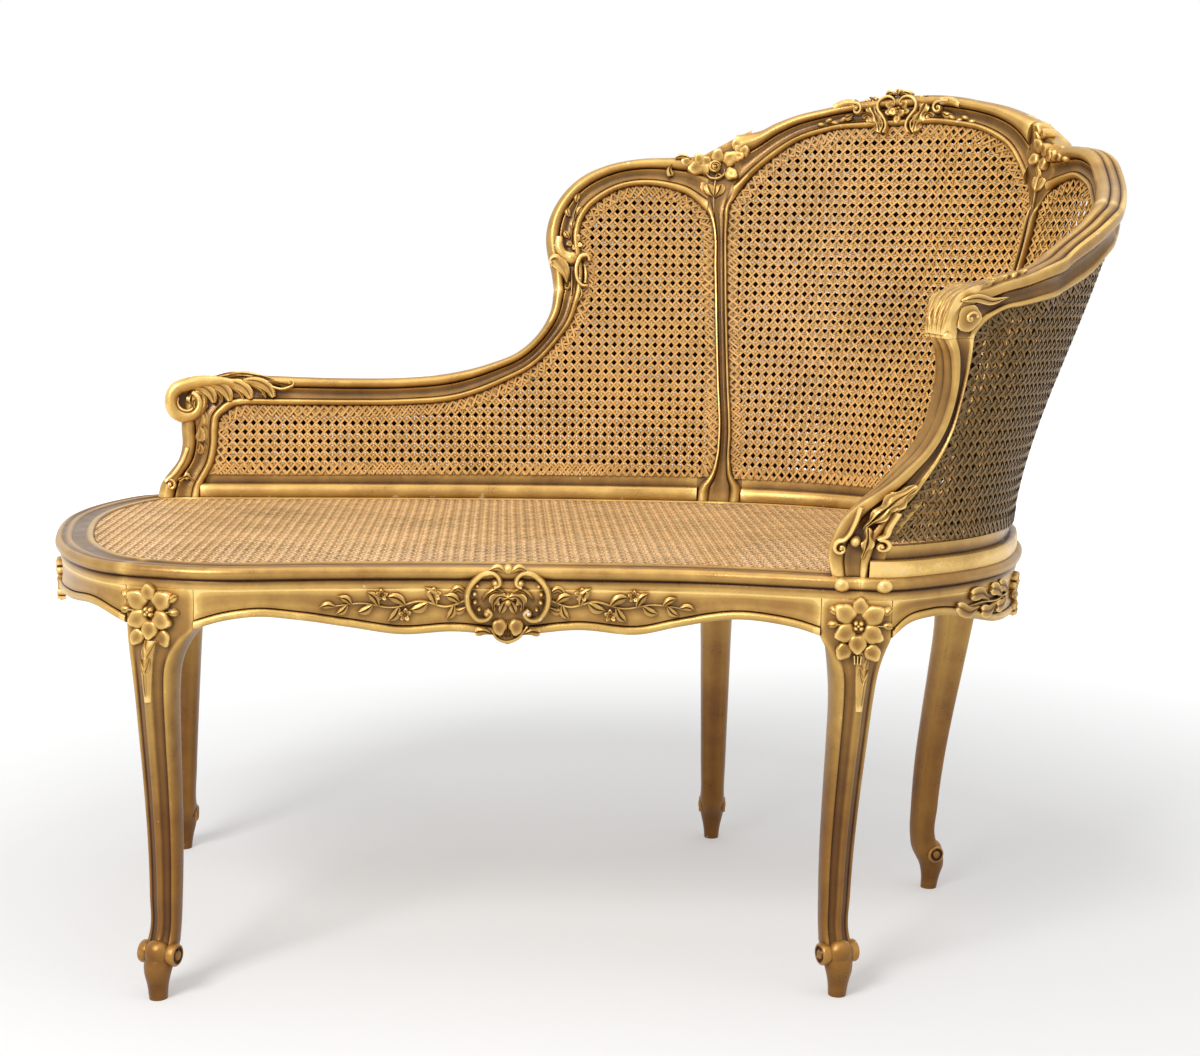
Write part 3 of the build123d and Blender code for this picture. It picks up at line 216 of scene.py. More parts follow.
STILE_PLAIN_FROM = 0.655
STILE_REAR_SHARES = [
    (1.0, -0.162), (0.98, -0.32), (0.90, -0.40), (0.75, -0.43), (0.50, -0.44), (0.25, -0.43),
    (0.10, -0.40), (0.02, -0.32), (0.0, -0.162),
]
PLAIN_SHARES = [
    (0.0, -0.42), (0.0, 0.40), (0.15, 0.44), (0.45, 0.45), (0.75, 0.43), (0.92, 0.38), (1.0, 0.30),
    (1.0, 0.162),
]
PLAIN_REAR_SHARES = [(1.0, -0.162), (1.0, -0.30), (0.92, -0.38), (0.6, -0.42)]

# Lower edge of each apron: station and drop, as a share of the apron's full depth
APRON_SHARES = {
    "apron_front": [
        (0.63, 0.84), (1.10, 0.63), (1.40, 0.57), (1.80, 0.66), (2.30, 0.83), (2.76, 0.98),
        (3.28, 0.92), (3.90, 1.0), (4.62, 0.87), (5.28, 0.95), (5.75, 0.77), (6.50, 0.55),
        (7.05, 0.60), (7.35, 0.67), (7.70, 0.80)],
    "apron_right_end": [
        (9.03, 0.80), (9.3, 0.55), (9.8, 0.42), (10.5, 0.50), (11.5, 0.80), (12.4, 0.86),
        (13.3, 0.80), (14.3, 0.55), (15.0, 0.55), (15.5, 0.80)],
    "apron_rear_right": [
        (16.40, 0.80), (16.8, 0.55), (17.6, 0.60), (18.2, 0.80), (18.8, 0.60), (19.4, 0.55),
        (19.75, 0.80)],
    "apron_rear_left": [
        (20.25, 0.80), (20.7, 0.55), (21.5, 0.62), (22.5, 0.90), (23.5, 0.62), (24.3, 0.55),
        (24.65, 0.80)],
    "apron_left_end": [
        (25.35, 0.80), (25.8, 0.55), (26.6, 0.55), (27.5, 0.70), (29.0, 0.88), (30.5, 0.75),
        (31.8, 0.62), (32.8, 0.55), (33.45, 0.80)],
}
# Stations at which the lengths of the seat frame, then the bottom rails, begin and end
RING_STATIONS = {
    "seat_frame_front": (-0.55, 8.37), "seat_frame_right": (8.37, 16.0),
    "seat_frame_rear_right": (16.0, 20.0), "seat_frame_rear_left": (20.0, 25.0),
    "seat_frame_left": (25.0, 33.45),
}
BOTTOM_RAILS = {
    "back_rail_left": (20.222, 24.848), "back_rail_centre": (16.252, 19.738),
    "back_rail_right": (8.522, 15.718),
}
# Legs: stations of the top block, knee and toe centres as shares of the seat, the way the
# knee faces in degrees
LEG_SHARES = {
    "leg_front_left": (33.45, 34.63, -0.333, 0.047, -0.338, 0.020, -111.0),
    "leg_front_right": (7.70, 9.03, 0.307, -0.013, 0.309, 0.020, -72.0),
    "leg_rear_right": (15.50, 16.40, 0.484, 0.562, 0.470, 0.570, 18.0),
    "leg_rear_middle": (19.75, 20.25, 0.237, 0.857, 0.240, 0.897, 84.0),
    "leg_rear_left": (24.65, 25.35, -0.381, 0.850, -0.387, 0.828, 92.0),
}
# Rows of a leg from the knee down: height, set-in, half width and half depth
LEG_PROFILE_SHARES = [
    (1.12, 0.0, 1.06, 1.05), (1.0, 0.0, 1.0, 1.0), (0.93, 0.02, 0.90, 0.96),
    (0.85, 0.10, 0.80, 0.88), (0.72, 0.35, 0.73, 0.80), (0.58, 0.65, 0.68, 0.73),
    (0.42, 0.92, 0.63, 0.67), (0.28, 1.0, 0.59, 0.62), (0.17, 0.92, 0.56, 0.60),
    (0.12, 0.55, 0.60, 0.72), (0.08, 0.25, 0.52, 0.62), (0.04, 0.25, 0.40, 0.46),
    (0.0, 0.30, 0.34, 0.40),
]
# Half of the leg's section, from the middle of its front: share across, share outwards, then
# the place of the same point on the square block at the top, across and inwards
LEG_SECTION_SHARES = [
    (0.0, 1.0, 0.0, 0.0), (0.10, 0.99, 0.10, 0.0), (0.19, 0.95, 0.19, 0.0),
    (0.24, 0.86, 0.26, 0.0), (0.28, 0.80, 0.33, 0.0), (0.36, 0.765, 0.42, 0.0),
    (0.46, 0.72, 0.52, 0.0), (0.56, 0.67, 0.62, 0.0), (0.63, 0.63, 0.70, 0.0),
    (0.67, 0.66, 0.77, 0.0), (0.73, 0.69, 0.84, 0.0), (0.81, 0.67, 0.91, 0.0),
    (0.89, 0.59, 0.97, 0.0), (0.96, 0.46, 1.0, 0.03), (1.0, 0.28, 1.0, 0.15),
    (0.99, 0.0, 1.0, 0.35), (0.95, -0.30, 1.0, 0.60), (0.88, -0.58, 1.0, 0.85),
    (0.74, -0.82, 0.92, 1.0), (0.55, -0.95, 0.65, 1.0), (0.30, -1.0, 0.35, 1.0),
    (0.0, -1.0, 0.0, 1.0),
]


class BenchSizes(bpy.types.PropertyGroup):
    """Sizes that a user may change."""

    cane_pitch: bpy.props.FloatProperty(
        name="Cane pitch", description="Distance between the holes of the cane",
        default=0.0104, min=0.006, max=0.03, unit="LENGTH")
    strand_width: bpy.props.FloatProperty(
        name="Strand width", description="Width of one strand of cane",
        default=0.0018, min=0.0005, max=0.004, unit="LENGTH")
    strand_thickness: bpy.props.FloatProperty(
        name="Strand thickness", description="Thickness of one strand of cane",
        default=0.00045, min=0.0002, max=0.001, unit="LENGTH")
    diagonal_width: bpy.props.FloatProperty(
        name="Diagonal width", description="Width of the diagonal strands on top",
        default=0.0022, min=0.0005, max=0.004, unit="LENGTH")


class BenchColours(bpy.types.PropertyGroup):
    """Colours that a user may change."""

    gold: bpy.props.FloatVectorProperty(
        name="Gold", description="Gold on the raised parts of the carving",
        default=(0.80, 0.52, 0.145), size=3, min=0.0, max=1.0, subtype="COLOR")
    shade: bpy.props.FloatVectorProperty(
        name="Shade", description="Toned gold of the flat parts",
        default=(0.345, 0.175, 0.040), size=3, min=0.0, max=1.0, subtype="COLOR")
    recess: bpy.props.FloatVectorProperty(
        name="Recess", description="Brown patina in the recesses, deepened by painted shade",
        default=(0.065, 0.026, 0.007), size=3, min=0.0, max=1.0, subtype="COLOR")
    cane: bpy.props.FloatVectorProperty(
        name="Cane", description="Gold-washed cane of the back",
        default=(0.54, 0.292, 0.078), size=3, min=0.0, max=1.0, subtype="COLOR")
    # Unwashed outer cane, made darker still as painted shade for the dim outside of the back and
    # the holes seen through the inner sheet
    outer_cane_and_shade: bpy.props.FloatVectorProperty(
        name="Outer cane", description="Darker cane on the outside of the back, partly painted shade",
        default=(0.215, 0.120, 0.032), size=3, min=0.0, max=1.0, subtype="COLOR")
    seat_cane: bpy.props.FloatVectorProperty(
        name="Seat cane", description="Paler cane of the seat",
        default=(0.64, 0.40, 0.18), size=3, min=0.0, max=1.0, subtype="COLOR")
    # Painted shade multiplied into the gilding low on the legs
    leg_painted_shade: bpy.props.FloatVectorProperty(
        name="Painted shade on legs", description="How the gold darkens down the legs",
        default=(0.47, 0.345, 0.21), size=3, min=0.0, max=1.0, subtype="COLOR")


def unit(vectors):
    """Vectors at length one."""
    return vectors / np.maximum(np.linalg.norm(vectors, axis=-1, keepdims=True), 1e-9)


def walked(points):
    """Distance walked along points, from the first one."""
    steps = np.linalg.norm(np.diff(points, axis=0), axis=1)
    return np.concatenate(([0], np.cumsum(steps)))


def smooth(part):
    """Share from zero to one that starts and ends gently."""
    return part * part * (3 - 2 * part)


def cubic(start, end, leave, arrive, part):
    """Value and slope, part of the way from start to end, for the slopes at both."""
    third = 2 * start - 2 * end + leave + arrive
    second = 3 * end - 3 * start - 2 * leave - arrive
    value = start + leave * part + second * part**2 + third * part**3
    return value, leave + 2 * second * part + 3 * third * part**2


def plan_at(corners, station):
    """Point, unit tangent and unit outward normal on the closed curve through corners."""
    station = np.asarray(station, dtype=float)
    index = np.floor(station).astype(int)
    along = (station - index)[..., None]
    near = corners[(index[..., None] + np.arange(-1, 3)) % len(corners)]
    before, start, end, after = (near[..., step, :] for step in range(4))
    point, slope = cubic(start, end, (end - before) / 2, (after - start) / 2, along)
    slope = unit(slope)
    return point, slope, np.stack((slope[..., 1], -slope[..., 0]), axis=-1)


def node_shift():
    """How far the plan's own axes lie from the frame's, from the caned seat's corners."""
    stations = np.arange(0, len(OUTLINE_SHARES), 0.5)
    place, _, normal = plan_at(OUTLINE_SHARES * SEAT_SPAN, stations)
    inner = place - normal * (RING_WIDTH + CANE_GAP)
    low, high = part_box("seat_cane")
    middle = (inner.min(axis=0) + inner.max(axis=0)) / 2
    return np.array(((low.x + high.x) / 2, (low.y + high.y) / 2)) - middle


PLAN_SHIFT = node_shift()
OUTLINE = OUTLINE_SHARES * SEAT_SPAN + PLAN_SHIFT


def rim(station, inset, height):
    """Point inside the seat's outline by an inset, at a height."""
    point, _, normal = plan_at(OUTLINE, station)
    flat = point - normal * np.asarray(inset)[..., None]
    height = np.broadcast_to(np.asarray(height, dtype=float), flat.shape[:-1])
    return np.concatenate((flat, height[..., None]), axis=-1)


def middle_surface(station, share):
    """Point on the middle surface of the back at a station and a height share."""
    station, share = np.broadcast_arrays(np.asarray(station, float), np.asarray(share, float))
    table = LEAN_SHARES
    held = np.clip(station, table[0, 0], table[-1, 0])
    index = np.clip(np.searchsorted(table[:, 0], held) - 1, 0, len(table) - 2)
    low, high = table[index], table[index + 1]
    part = (held - low[..., 0]) / (high[..., 0] - low[..., 0])
    lean = low + (high - low) * smooth(part)[..., None]
    rise = share * BACK_HEIGHT
    level = rise / FLARE_HEIGHT
    grow = (1 - lean[..., 3]) * level + lean[..., 3] * smooth(np.clip(level, 0, 1))
    point = rim(station, BACK_INSET, SEAT_HEIGHT + rise)
    point[..., :2] += lean[..., 1:3] * (FLARE_HEIGHT * grow)[..., None]
    return point


def back_axes(station, share):
    """Direction to higher stations, upwards and towards the sitter on the back."""
    step = 0.02
    side = middle_surface(station + step, share) - middle_surface(station - step, share)
    up = middle_surface(station, share + step) - middle_surface(station, share - step)
    return unit(side), unit(up), unit(np.cross(up, side))


def back_surface(station, share, proud=0.0):
    """Point on the back, proud of its middle surface towards the sitter."""
    station = np.asarray(station, float)
    share = np.asarray(share, float)
    normal = back_axes(station, share)[2]
    return middle_surface(station, share) + normal * np.asarray(proud)[..., None]


def curve_through(rows, spacing, distance=None):
    """Rows of numbers eased through the given ones, spaced along a measured distance."""
    rows = np.asarray(rows, float)
    if distance is None:
        distance = rows[:, 0]
    count = max(2, int(math.ceil(abs(distance[-1] - distance[0]) / spacing)) + 1)
    fine = np.linspace(distance[0], distance[-1], count)
    slope = np.gradient(rows, distance, axis=0)
    index = np.clip(np.searchsorted(distance, fine, side="right") - 1, 0, len(rows) - 2)
    span = (distance[index + 1] - distance[index])[:, None]
    part = (fine - distance[index])[:, None] / span
    return cubic(rows[index], rows[index + 1], slope[index] * span, slope[index + 1] * span,
                 part)[0]


def member_edges(fine):
    """Free edge, cane edge and the way it faces, for the rows of a back member."""
    free = middle_surface(fine[:, 0], fine[:, 1])
    cane = middle_surface(fine[:, 2], fine[:, 3])
    normal = back_axes((fine[:, 0] + fine[:, 2]) / 2, (fine[:, 1] + fine[:, 3]) / 2)[2]
    return free, cane, normal


class Shape:
    """Points and faces gathered before they become one mesh."""

    def __init__(self):
        self.points = []
        self.faces = []
        self.count = 0

    def add(self, points, faces):
        """Add points and the faces that count from them."""
        points = np.asarray(points, float).reshape(-1, 3)
        self.points.append(points)
        self.faces.extend(tuple(index + self.count for index in face) for face in faces)
        self.count += len(points)

    def skin(self, sections):
        """Closed tube through sections, all with the same number of points."""
        sections = np.asarray(sections, float)
        rows, size = sections.shape[:2]
        index = np.arange(rows * size).reshape(rows, size)
        turn = np.roll(index, -1, axis=1)
        sides = np.stack((index[:-1], turn[:-1], turn[1:], index[1:]), -1).reshape(-1, 4)
        self.add(sections, [*sides.tolist(), index[0, ::-1].tolist(), index[-1].tolist()])
        return self

    def build(self, name, finish, smooth_angle=38.0):
        """Mesh object with outward normals, its wear painted by curvature."""
        mesh = bpy.data.meshes.new(name)
        mesh.from_pydata(np.concatenate(self.points).tolist(), [], self.faces)
        mesh.validate()
        outward(mesh)
        mesh.shade_smooth()
        mesh.set_sharp_from_angle(angle=math.radians(smooth_angle))
        paint_wear(mesh)
        mesh.materials.append(finish)
        piece = bpy.data.objects.new(name, mesh)
        bpy.context.scene.collection.objects.link(piece)
        return piece


def spread(profile, along):
    """Width of a leaf along its length, from how it opens and how it closes."""
    opens, closes = profile
    width = (along + 0.02)**opens * (1.02 - along)**closes
    return width / width.max()


def turned(points, x, y, degrees):
    """Points turned and moved on their surface."""
    angle = math.radians(degrees)
    spin = np.array(((math.cos(angle), math.sin(angle)), (-math.sin(angle), math.cos(angle))))
    return np.asarray(points, float) @ spin + (x, y)


def spiral(x, y, radius, start, sweep, inner=0.22):
    """Points of a curl from its outer end inwards; angles in degrees."""
    count = max(6, int(abs(sweep) / 24))
    turn = np.radians(np.linspace(start, start + sweep, count))
    size = radius * inner**np.linspace(0, 1, count)
    return np.column_stack((x + size * np.cos(turn), y + size * np.sin(turn)))


# How a leaf opens and how it closes along its length
PETAL = (0.95, 0.42)
LEAF = (0.60, 0.95)
ACANTHUS = (0.35, 0.60)


class Carver(Shape):
    """Relief that follows a surface. Its lengths are in millimetres: across, up and proud."""

    def __init__(self, place, sink):
        super().__init__()
        self.place = place
        self.sink = sink
        self.hand = 1

    def faced(self, x, turn):
        """Place across and turn, mirrored while the other hand is being carved."""
        return (x, turn) if self.hand > 0 else (-x, 180 - turn)

    def patch(self, across, up, proud):
        """Raised patch with walls and an underside below the surface."""
        rows, size = across.shape
        middle = (across.mean(), up.mean())
        low = np.full(across.shape, -self.sink)
        top = self.place(across, up, proud).reshape(-1, 3)
        under = self.place(middle[0] + (across - middle[0]) * 0.86,
                           middle[1] + (up - middle[1]) * 0.86, low).reshape(-1, 3)
        index = np.arange(rows * size).reshape(rows, size)
        quads = np.stack((index[:-1, :-1], index[:-1, 1:], index[1:, 1:], index[1:, :-1]), -1)
        quads = quads.reshape(-1, 4)
        edge = np.concatenate((index[0], index[1:, -1], index[-1, -2::-1], index[-2:0:-1, 0]))
        turn = np.roll(edge, -1)
        under_quads = quads[:, ::-1] + len(top)
        walls = np.stack((turn, edge, edge + len(top), turn + len(top)), -1)
        self.add(np.concatenate((top, under)),
                 np.concatenate((quads, under_quads, walls)).tolist())

    def line(self, path, step):
        """Eased path with its length share, sideways direction and forward direction."""
        path = np.asarray(path, float)
        steps = np.maximum(np.linalg.norm(np.diff(path, axis=0), axis=1), 0.05)
        distance = np.concatenate(([0], np.cumsum(steps)))
        fine = curve_through(path, step, distance)
        forward = unit(np.gradient(fine, axis=0))
        sideways = np.column_stack((-forward[:, 1], forward[:, 0]))
        return fine, np.linspace(0, 1, len(fine)), sideways, forward

    def leaf(self, path, width, height, profile=LEAF, lobes=0, cup=0.0, base=0.0, flutes=0,
             tip=0.35, vein=0.25, sweep=0.3):
        """Leaf along a path, with lobes on its edges, flutes and a vein."""
        path = np.asarray(path, float) * (self.hand, 1)
        length = walked(path)[-1]
        fine, along, sideways, forward = self.line(path, max(length / (14 + 4 * lobes), 0.6))
        across = np.linspace(-1, 1, 13 if flutes or lobes else 9)
        wide = width / 2 * spread(profile, along)
        lobed = 1 + 0.26 * np.cos(2 * math.pi * lobes * along) if lobes else 1.0
        edge = (wide * lobed)[:, None] * across
        lean = (np.abs(across)**1.6 * sweep)[None] * wide[:, None]
        flat = (fine[:, None] + sideways[:, None] * edge[..., None]
                + forward[:, None] * lean[..., None])
        crown = 0.45 + 0.55 * (1 - across**2)[None]
        proud = height * crown * (1 - tip * along**3)[:, None]
        proud = proud + cup * (across**2)[None] * np.sin(math.pi * along)[:, None]
        proud = proud - height * vein * np.exp(-(across / 0.16)**2)[None]
        if flutes:
            wave = np.cos(2 * math.pi * flutes * (np.abs(across)[None] - 0.5 * along[:, None]))
            proud = proud + 0.16 * height * wave
        if lobes:
            dip = np.cos(2 * math.pi * lobes * along)[:, None] * (across**2)[None]
            proud = proud + 0.22 * height * dip
        self.patch(flat[..., 0], flat[..., 1], base + proud)

    def ribbon(self, path, width, height, taper=(1.0, 1.0), base=0.0, fluted=False):
        """Raised band along a path, rounded or with a hollow between two lips."""
        path = np.asarray(path, float) * (self.hand, 1)
        fine, along, sideways, _ = self.line(path, max(width * 0.35, 0.7))
        size = np.interp(along, np.linspace(0, 1, len(taper)), taper)
        rounded = [(0.5, 0.35), (0.42, 0.72), (0.25, 0.94), (0.0, 1.0)]
        lipped = [(0.5, 0.45), (0.43, 0.88), (0.31, 1.0), (0.17, 0.80), (0.0, 0.62)]
        half = lipped if fluted else rounded
        section = half + [(-side, up) for side, up in half[-2::-1]]
        rows = []
        for side, up in section:
            flat = fine + sideways * (side * width * size)[:, None]
            rows.append(self.place(flat[:, 0], flat[:, 1], base + height * up * size**0.5))
        for side in (-0.5, 0.5):
            flat = fine + sideways * (side * width * size)[:, None]
            rows.append(self.place(flat[:, 0], flat[:, 1], np.full(len(fine), -self.sink)))
        self.skin(np.stack(rows, axis=1))

    def bud(self, x, y, radius, height, long=1.0, turn=0.0, base=0.0):
        """Rounded bud, drawn out along one direction."""
        x, turn = self.faced(x, turn)
        angle = np.linspace(0, 2 * math.pi, 12, endpoint=False)
        rings = []
        for lift in (-1, 0.0, 0.35, 0.68, 0.9, 1.0):
            size = radius * (math.sqrt(max(1 - max(lift, 0)**2, 0.0)) + 0.05)
            ring = turned(np.column_stack((np.cos(angle) * size * long, np.sin(angle) * size)),
                          x, y, turn)
            proud = -self.sink if lift < 0 else base + height * lift
            rings.append(self.place(ring[:, 0], ring[:, 1], np.full(len(ring), proud)))
        self.skin(rings)

    def petal(self, x, y, radius, height, turn=0.0, base=0.0, long=1.12):
        """Round, domed petal with a wavy rim, higher at its far side."""
        x, turn = self.faced(x, turn)
        angle = np.linspace(0, 2 * math.pi, 18, endpoint=False)
        wave = (1 + 0.07 * np.cos(3 * angle) + 0.06 * np.cos(5 * angle + x))[:, None]
        rings = []
        for size, lift in ((0.90, None), (1.0, 0.20), (0.97, 0.58), (0.86, 0.86), (0.66, 1.0),
                           (0.40, 1.0), (0.10, 0.96)):
            ring = np.column_stack((np.cos(angle) * radius * size * long,
                                    np.sin(angle) * radius * size)) * wave
            ring = turned(ring, x, y, turn)
            proud = np.full(len(ring), -self.sink)
            if lift is not None:
                proud = base + height * (lift + 0.26 * size * np.cos(angle) * (lift > 0.3))
            rings.append(self.place(ring[:, 0], ring[:, 1], proud))
        self.skin(rings)

    def flower(self, x, y, radius, petals, turn, height):
        """Open flower of dished petals that overlap round a knobbed middle."""
        for petal in range(petals):
            angle = turn + 360 * petal / petals + 7 * math.sin(2.3 * petal + x)
            spot = turned([(radius * (0.58 + 0.03 * math.cos(3.1 * petal + y)), 0)], x, y, angle)[0]
            self.petal(*spot, radius * 2.15 / petals, height * (0.84 + 0.16 * (petal % 2)), angle)
        for knob in range(4):
            spot = turned([(radius * 0.14, 0)], x, y, 45 + 90 * knob)[0]
            self.bud(*spot, radius * 0.12, height * 1.20)
        self.bud(x, y, radius * 0.10, height * 1.28)

    def rose(self, x, y, radius, height, base):
        """Half-open rose: a ball of petals wrapped round each other."""
        for size, lift, turn in ((1.0, 0.62, 20), (0.80, 0.86, 140), (0.58, 1.06, 260)):
            path = spiral(x, y, radius * size * 0.80, turn, 250, 0.86)
            self.ribbon(path, radius * 0.42 * size, height * lift, (0.5, 1.0, 1.1, 0.9, 0.4), base)
        self.bud(x, y, radius * 0.78, height * 0.80, base=base)
        self.bud(x + radius * 0.05, y, radius * 0.26, height * 1.18, base=base)

    def stem(self, path, leaves):
        """Stem with leaves; each leaf is a share along it, a turn and a length."""
        self.ribbon(path, 2.6, 3.6, (1.0, 0.9, 0.5))
        fine, _, _, forward = self.line(path, 2.0)
        for share, turn, length in leaves:
            spot = int(share * (len(fine) - 1))
            heading = math.degrees(math.atan2(forward[spot, 1], forward[spot, 0]))
            bend = 0.10 * length * (1 if turn > 0 else -1)
            leaf = turned([(0, 0), (length * 0.5, bend), (length, -bend * 0.4)],
                          *fine[spot], heading + turn)
            self.leaf(leaf, length * 0.46, 5.4, tip=0.30, cup=0.8)

    def curl(self, x, y, radius, start, sweep, width, height, base=0.0, lead=()):
        """Ribbon that leads into a spiral and ends in a round eye."""
        path = [*lead, *spiral(x, y, radius, start, sweep)]
        self.ribbon(path, width, height, (1.0, 1.0, 0.9, 0.7), base)
        self.bud(x, y, radius * 0.32, height * 1.12, base=base)


def on_apron(station, height):
    """Millimetres across, up and proud on the face of an apron, into points."""
    table = np.linspace(station - 4, station + 4, 400)
    length = walked(rim(table, RING_OVERHANG, 0))
    length = (length - np.interp(station, table, length)) * 1000

    def place(across, up, proud):
        at = np.interp(across, length, table)
        return rim(at, RING_OVERHANG - proud / 1000, height + up / 1000)
    return place


def on_back(station, share, turn=0.0, side=1, base=0.0065):
    """Millimetres across, up and proud on the back, as seen from one side, into points."""
    stations = np.linspace(station - 4, station + 4, 320)
    length = walked(middle_surface(stations, share))
    length = (length - np.interp(station, stations, length)) * 1000
    shares = np.linspace(0, 1.1, 80)
    rise = walked(middle_surface(station, shares))
    rise = (rise - np.interp(share, shares, rise)) * 1000

    def place(across, up, proud):
        flat = turned(np.stack((np.ravel(across), np.ravel(up)), -1), 0, 0, turn)
        at = np.interp(-side * flat[:, 0], length, stations)
        level = np.interp(flat[:, 1], rise, shares)
        points = back_surface(at, level, side * (base + np.ravel(proud) / 1000))
        return points.reshape(np.shape(across) + (3,))
    return place


def on_edge(rows):
    """Millimetres along the free edge of a back member, over its thickness and proud."""
    rows = np.asarray(rows, float)
    fine = curve_through(rows, 0.003, walked(middle_surface(rows[:, 0], rows[:, 1])))
    free, cane, normal = member_edges(fine)
    away = unit(free - cane)
    walk = walked(free) * 1000

    def place(across, up, proud):
        shape = np.shape(across)
        across, up, proud = (np.broadcast_to(value, shape).ravel() for value in
                             (across, up, proud))
        at, out, over = (np.stack([np.interp(across, walk, values[:, k]) for k in range(3)], 1)
                         for values in (free, away, normal))
        points = at + out * (proud / 1000)[:, None] + over * (up / 1000)[:, None]
        return points.reshape(shape + (3,))
    return place


def on_leg(shares, height):
    """Millimetres across, up and proud on the front of a leg, into points."""
    first, last = shares[:2]
    _, _, out, side = leg_lines(shares)
    profile = leg_profile(0.01)
    flush = on_apron((first + last) / 2, 0.0)

    def place(across, up, proud):
        across, up, proud = (np.asarray(value, float) for value in (across, up, proud))
        level = height + up / 1000
        share = level / BLOCK_BOTTOM
        set_in, wide, deep = (np.interp(share, profile[:, 0], profile[:, k]) for k in (1, 2, 3))
        beside = np.abs(across) / 1000 / (wide * KNEE_HALF_WIDTH)
        reach = (1 - 0.5 * beside) * deep * KNEE_HALF_DEPTH + proud / 1000
        shaft = (leg_centre(shares, share, set_in) + side * across[..., None] / 1000
                 + out * reach[..., None])
        shaft = np.concatenate((shaft, level[..., None]), axis=-1)
        block = flush(across, up + height * 1000, proud)
        ease = block_share(level)[..., None]
        return shaft * (1 - ease) + block * ease
    return place


def outward(mesh):
    """Turn every closed shell of a mesh so that its faces point outwards."""
    shell = bmesh.new()
    shell.from_mesh(mesh)
    bmesh.ops.recalc_face_normals(shell, faces=shell.faces)
    shell.to_mesh(mesh)
    shell.free()


def paint_wear(mesh):
    """Store how raised or sunk each point is, for the rubbed gilding."""
    count = len(mesh.vertices)
    place, normal = np.empty((2, count * 3))
    mesh.vertices.foreach_get("co", place)
    mesh.vertices.foreach_get("normal", normal)
    place, normal = place.reshape(-1, 3), normal.reshape(-1, 3)
    ends = np.empty(len(mesh.edges) * 2, dtype=np.int64)
    mesh.edges.foreach_get("vertices", ends)
    first, second = ends.reshape(-1, 2).T
    span = place[second] - place[first]
    length = np.maximum(np.linalg.norm(span, axis=1), 1e-7)
    bend = np.zeros(count)
    total = np.zeros(count)
    for here, sign in ((first, 1.0), (second, -1.0)):
        fall = -(span * normal[here]).sum(axis=1) * sign / length
        np.add.at(bend, here, fall)
        np.add.at(total, here, 1.0)
    bend /= np.maximum(total, 1)
    for _ in range(2):
        eased = bend.copy()
        for here, there in ((first, second), (second, first)):
            np.add.at(eased, here, bend[there])
        bend = eased / (total + 1)
    layer = mesh.attributes.new("wear", "FLOAT", "POINT")
    layer.data.foreach_set("value", np.clip(0.5 + bend * 2.2, 0, 1).astype(np.float32))


# Height share over which a member turns upright at its foot or loses its beads
EASE_SHARE = 0.05


def member_sections(rows, front, rear, tongues, level_ends, spacing=0.006, plain_from=2.0):
    """Sections of a back member along its eased rows, with a tongue under the cane.

    Above the height share plain_from the beads sink into a flat field."""
    rows = np.asarray(rows, float)
    middle = middle_surface((rows[:, 0] + rows[:, 2]) / 2, (rows[:, 1] + rows[:, 3]) / 2)
    fine = curve_through(rows, spacing, walked(middle))
    free_edge, cane_edge, normal = member_edges(fine)
    if level_ends:
        height = np.minimum(fine[:, 1], fine[:, 3])
        ease = np.clip(1 - height / EASE_SHARE, 0, 1)[:, None]
        flat = normal * (1, 1, 0)
        normal = unit(normal * (1 - ease) + unit(flat) * ease)
    across = cane_edge - free_edge
    reach = unit(across) * TONGUE_REACH
    tongue = normal * TONGUE_HALF
    fade = np.clip((fine[:, 1:2] - plain_from) / EASE_SHARE, 0, 1)
    points = []
    for share, depth in front:
        level = depth + np.minimum(STILE_FIELD - depth, 0) * fade
        points.append(free_edge + across * share + normal * (level * BACK_THICKNESS))
    if 1 in tongues:
        points += [cane_edge + reach + tongue, cane_edge + reach - tongue]
    points += [free_edge + across * share + normal * (depth * BACK_THICKNESS)
               for share, depth in rear]
    if -1 in tongues:
        points += [free_edge - reach - tongue, free_edge - reach + tongue]
    return np.stack(points, axis=1)


def made(piece, material_slot, *nodes):
    """Attach a finished piece: it rides on the bench and stands for its nodes, which are hidden."""
    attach(piece, "root")
    if nodes:
        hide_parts(*nodes)
    return piece


def colours():
    """The colours of this bench."""
    return bpy.context.scene.bench_colours


def sizes():
    """The sizes of this bench."""
    return bpy.context.scene.bench_sizes


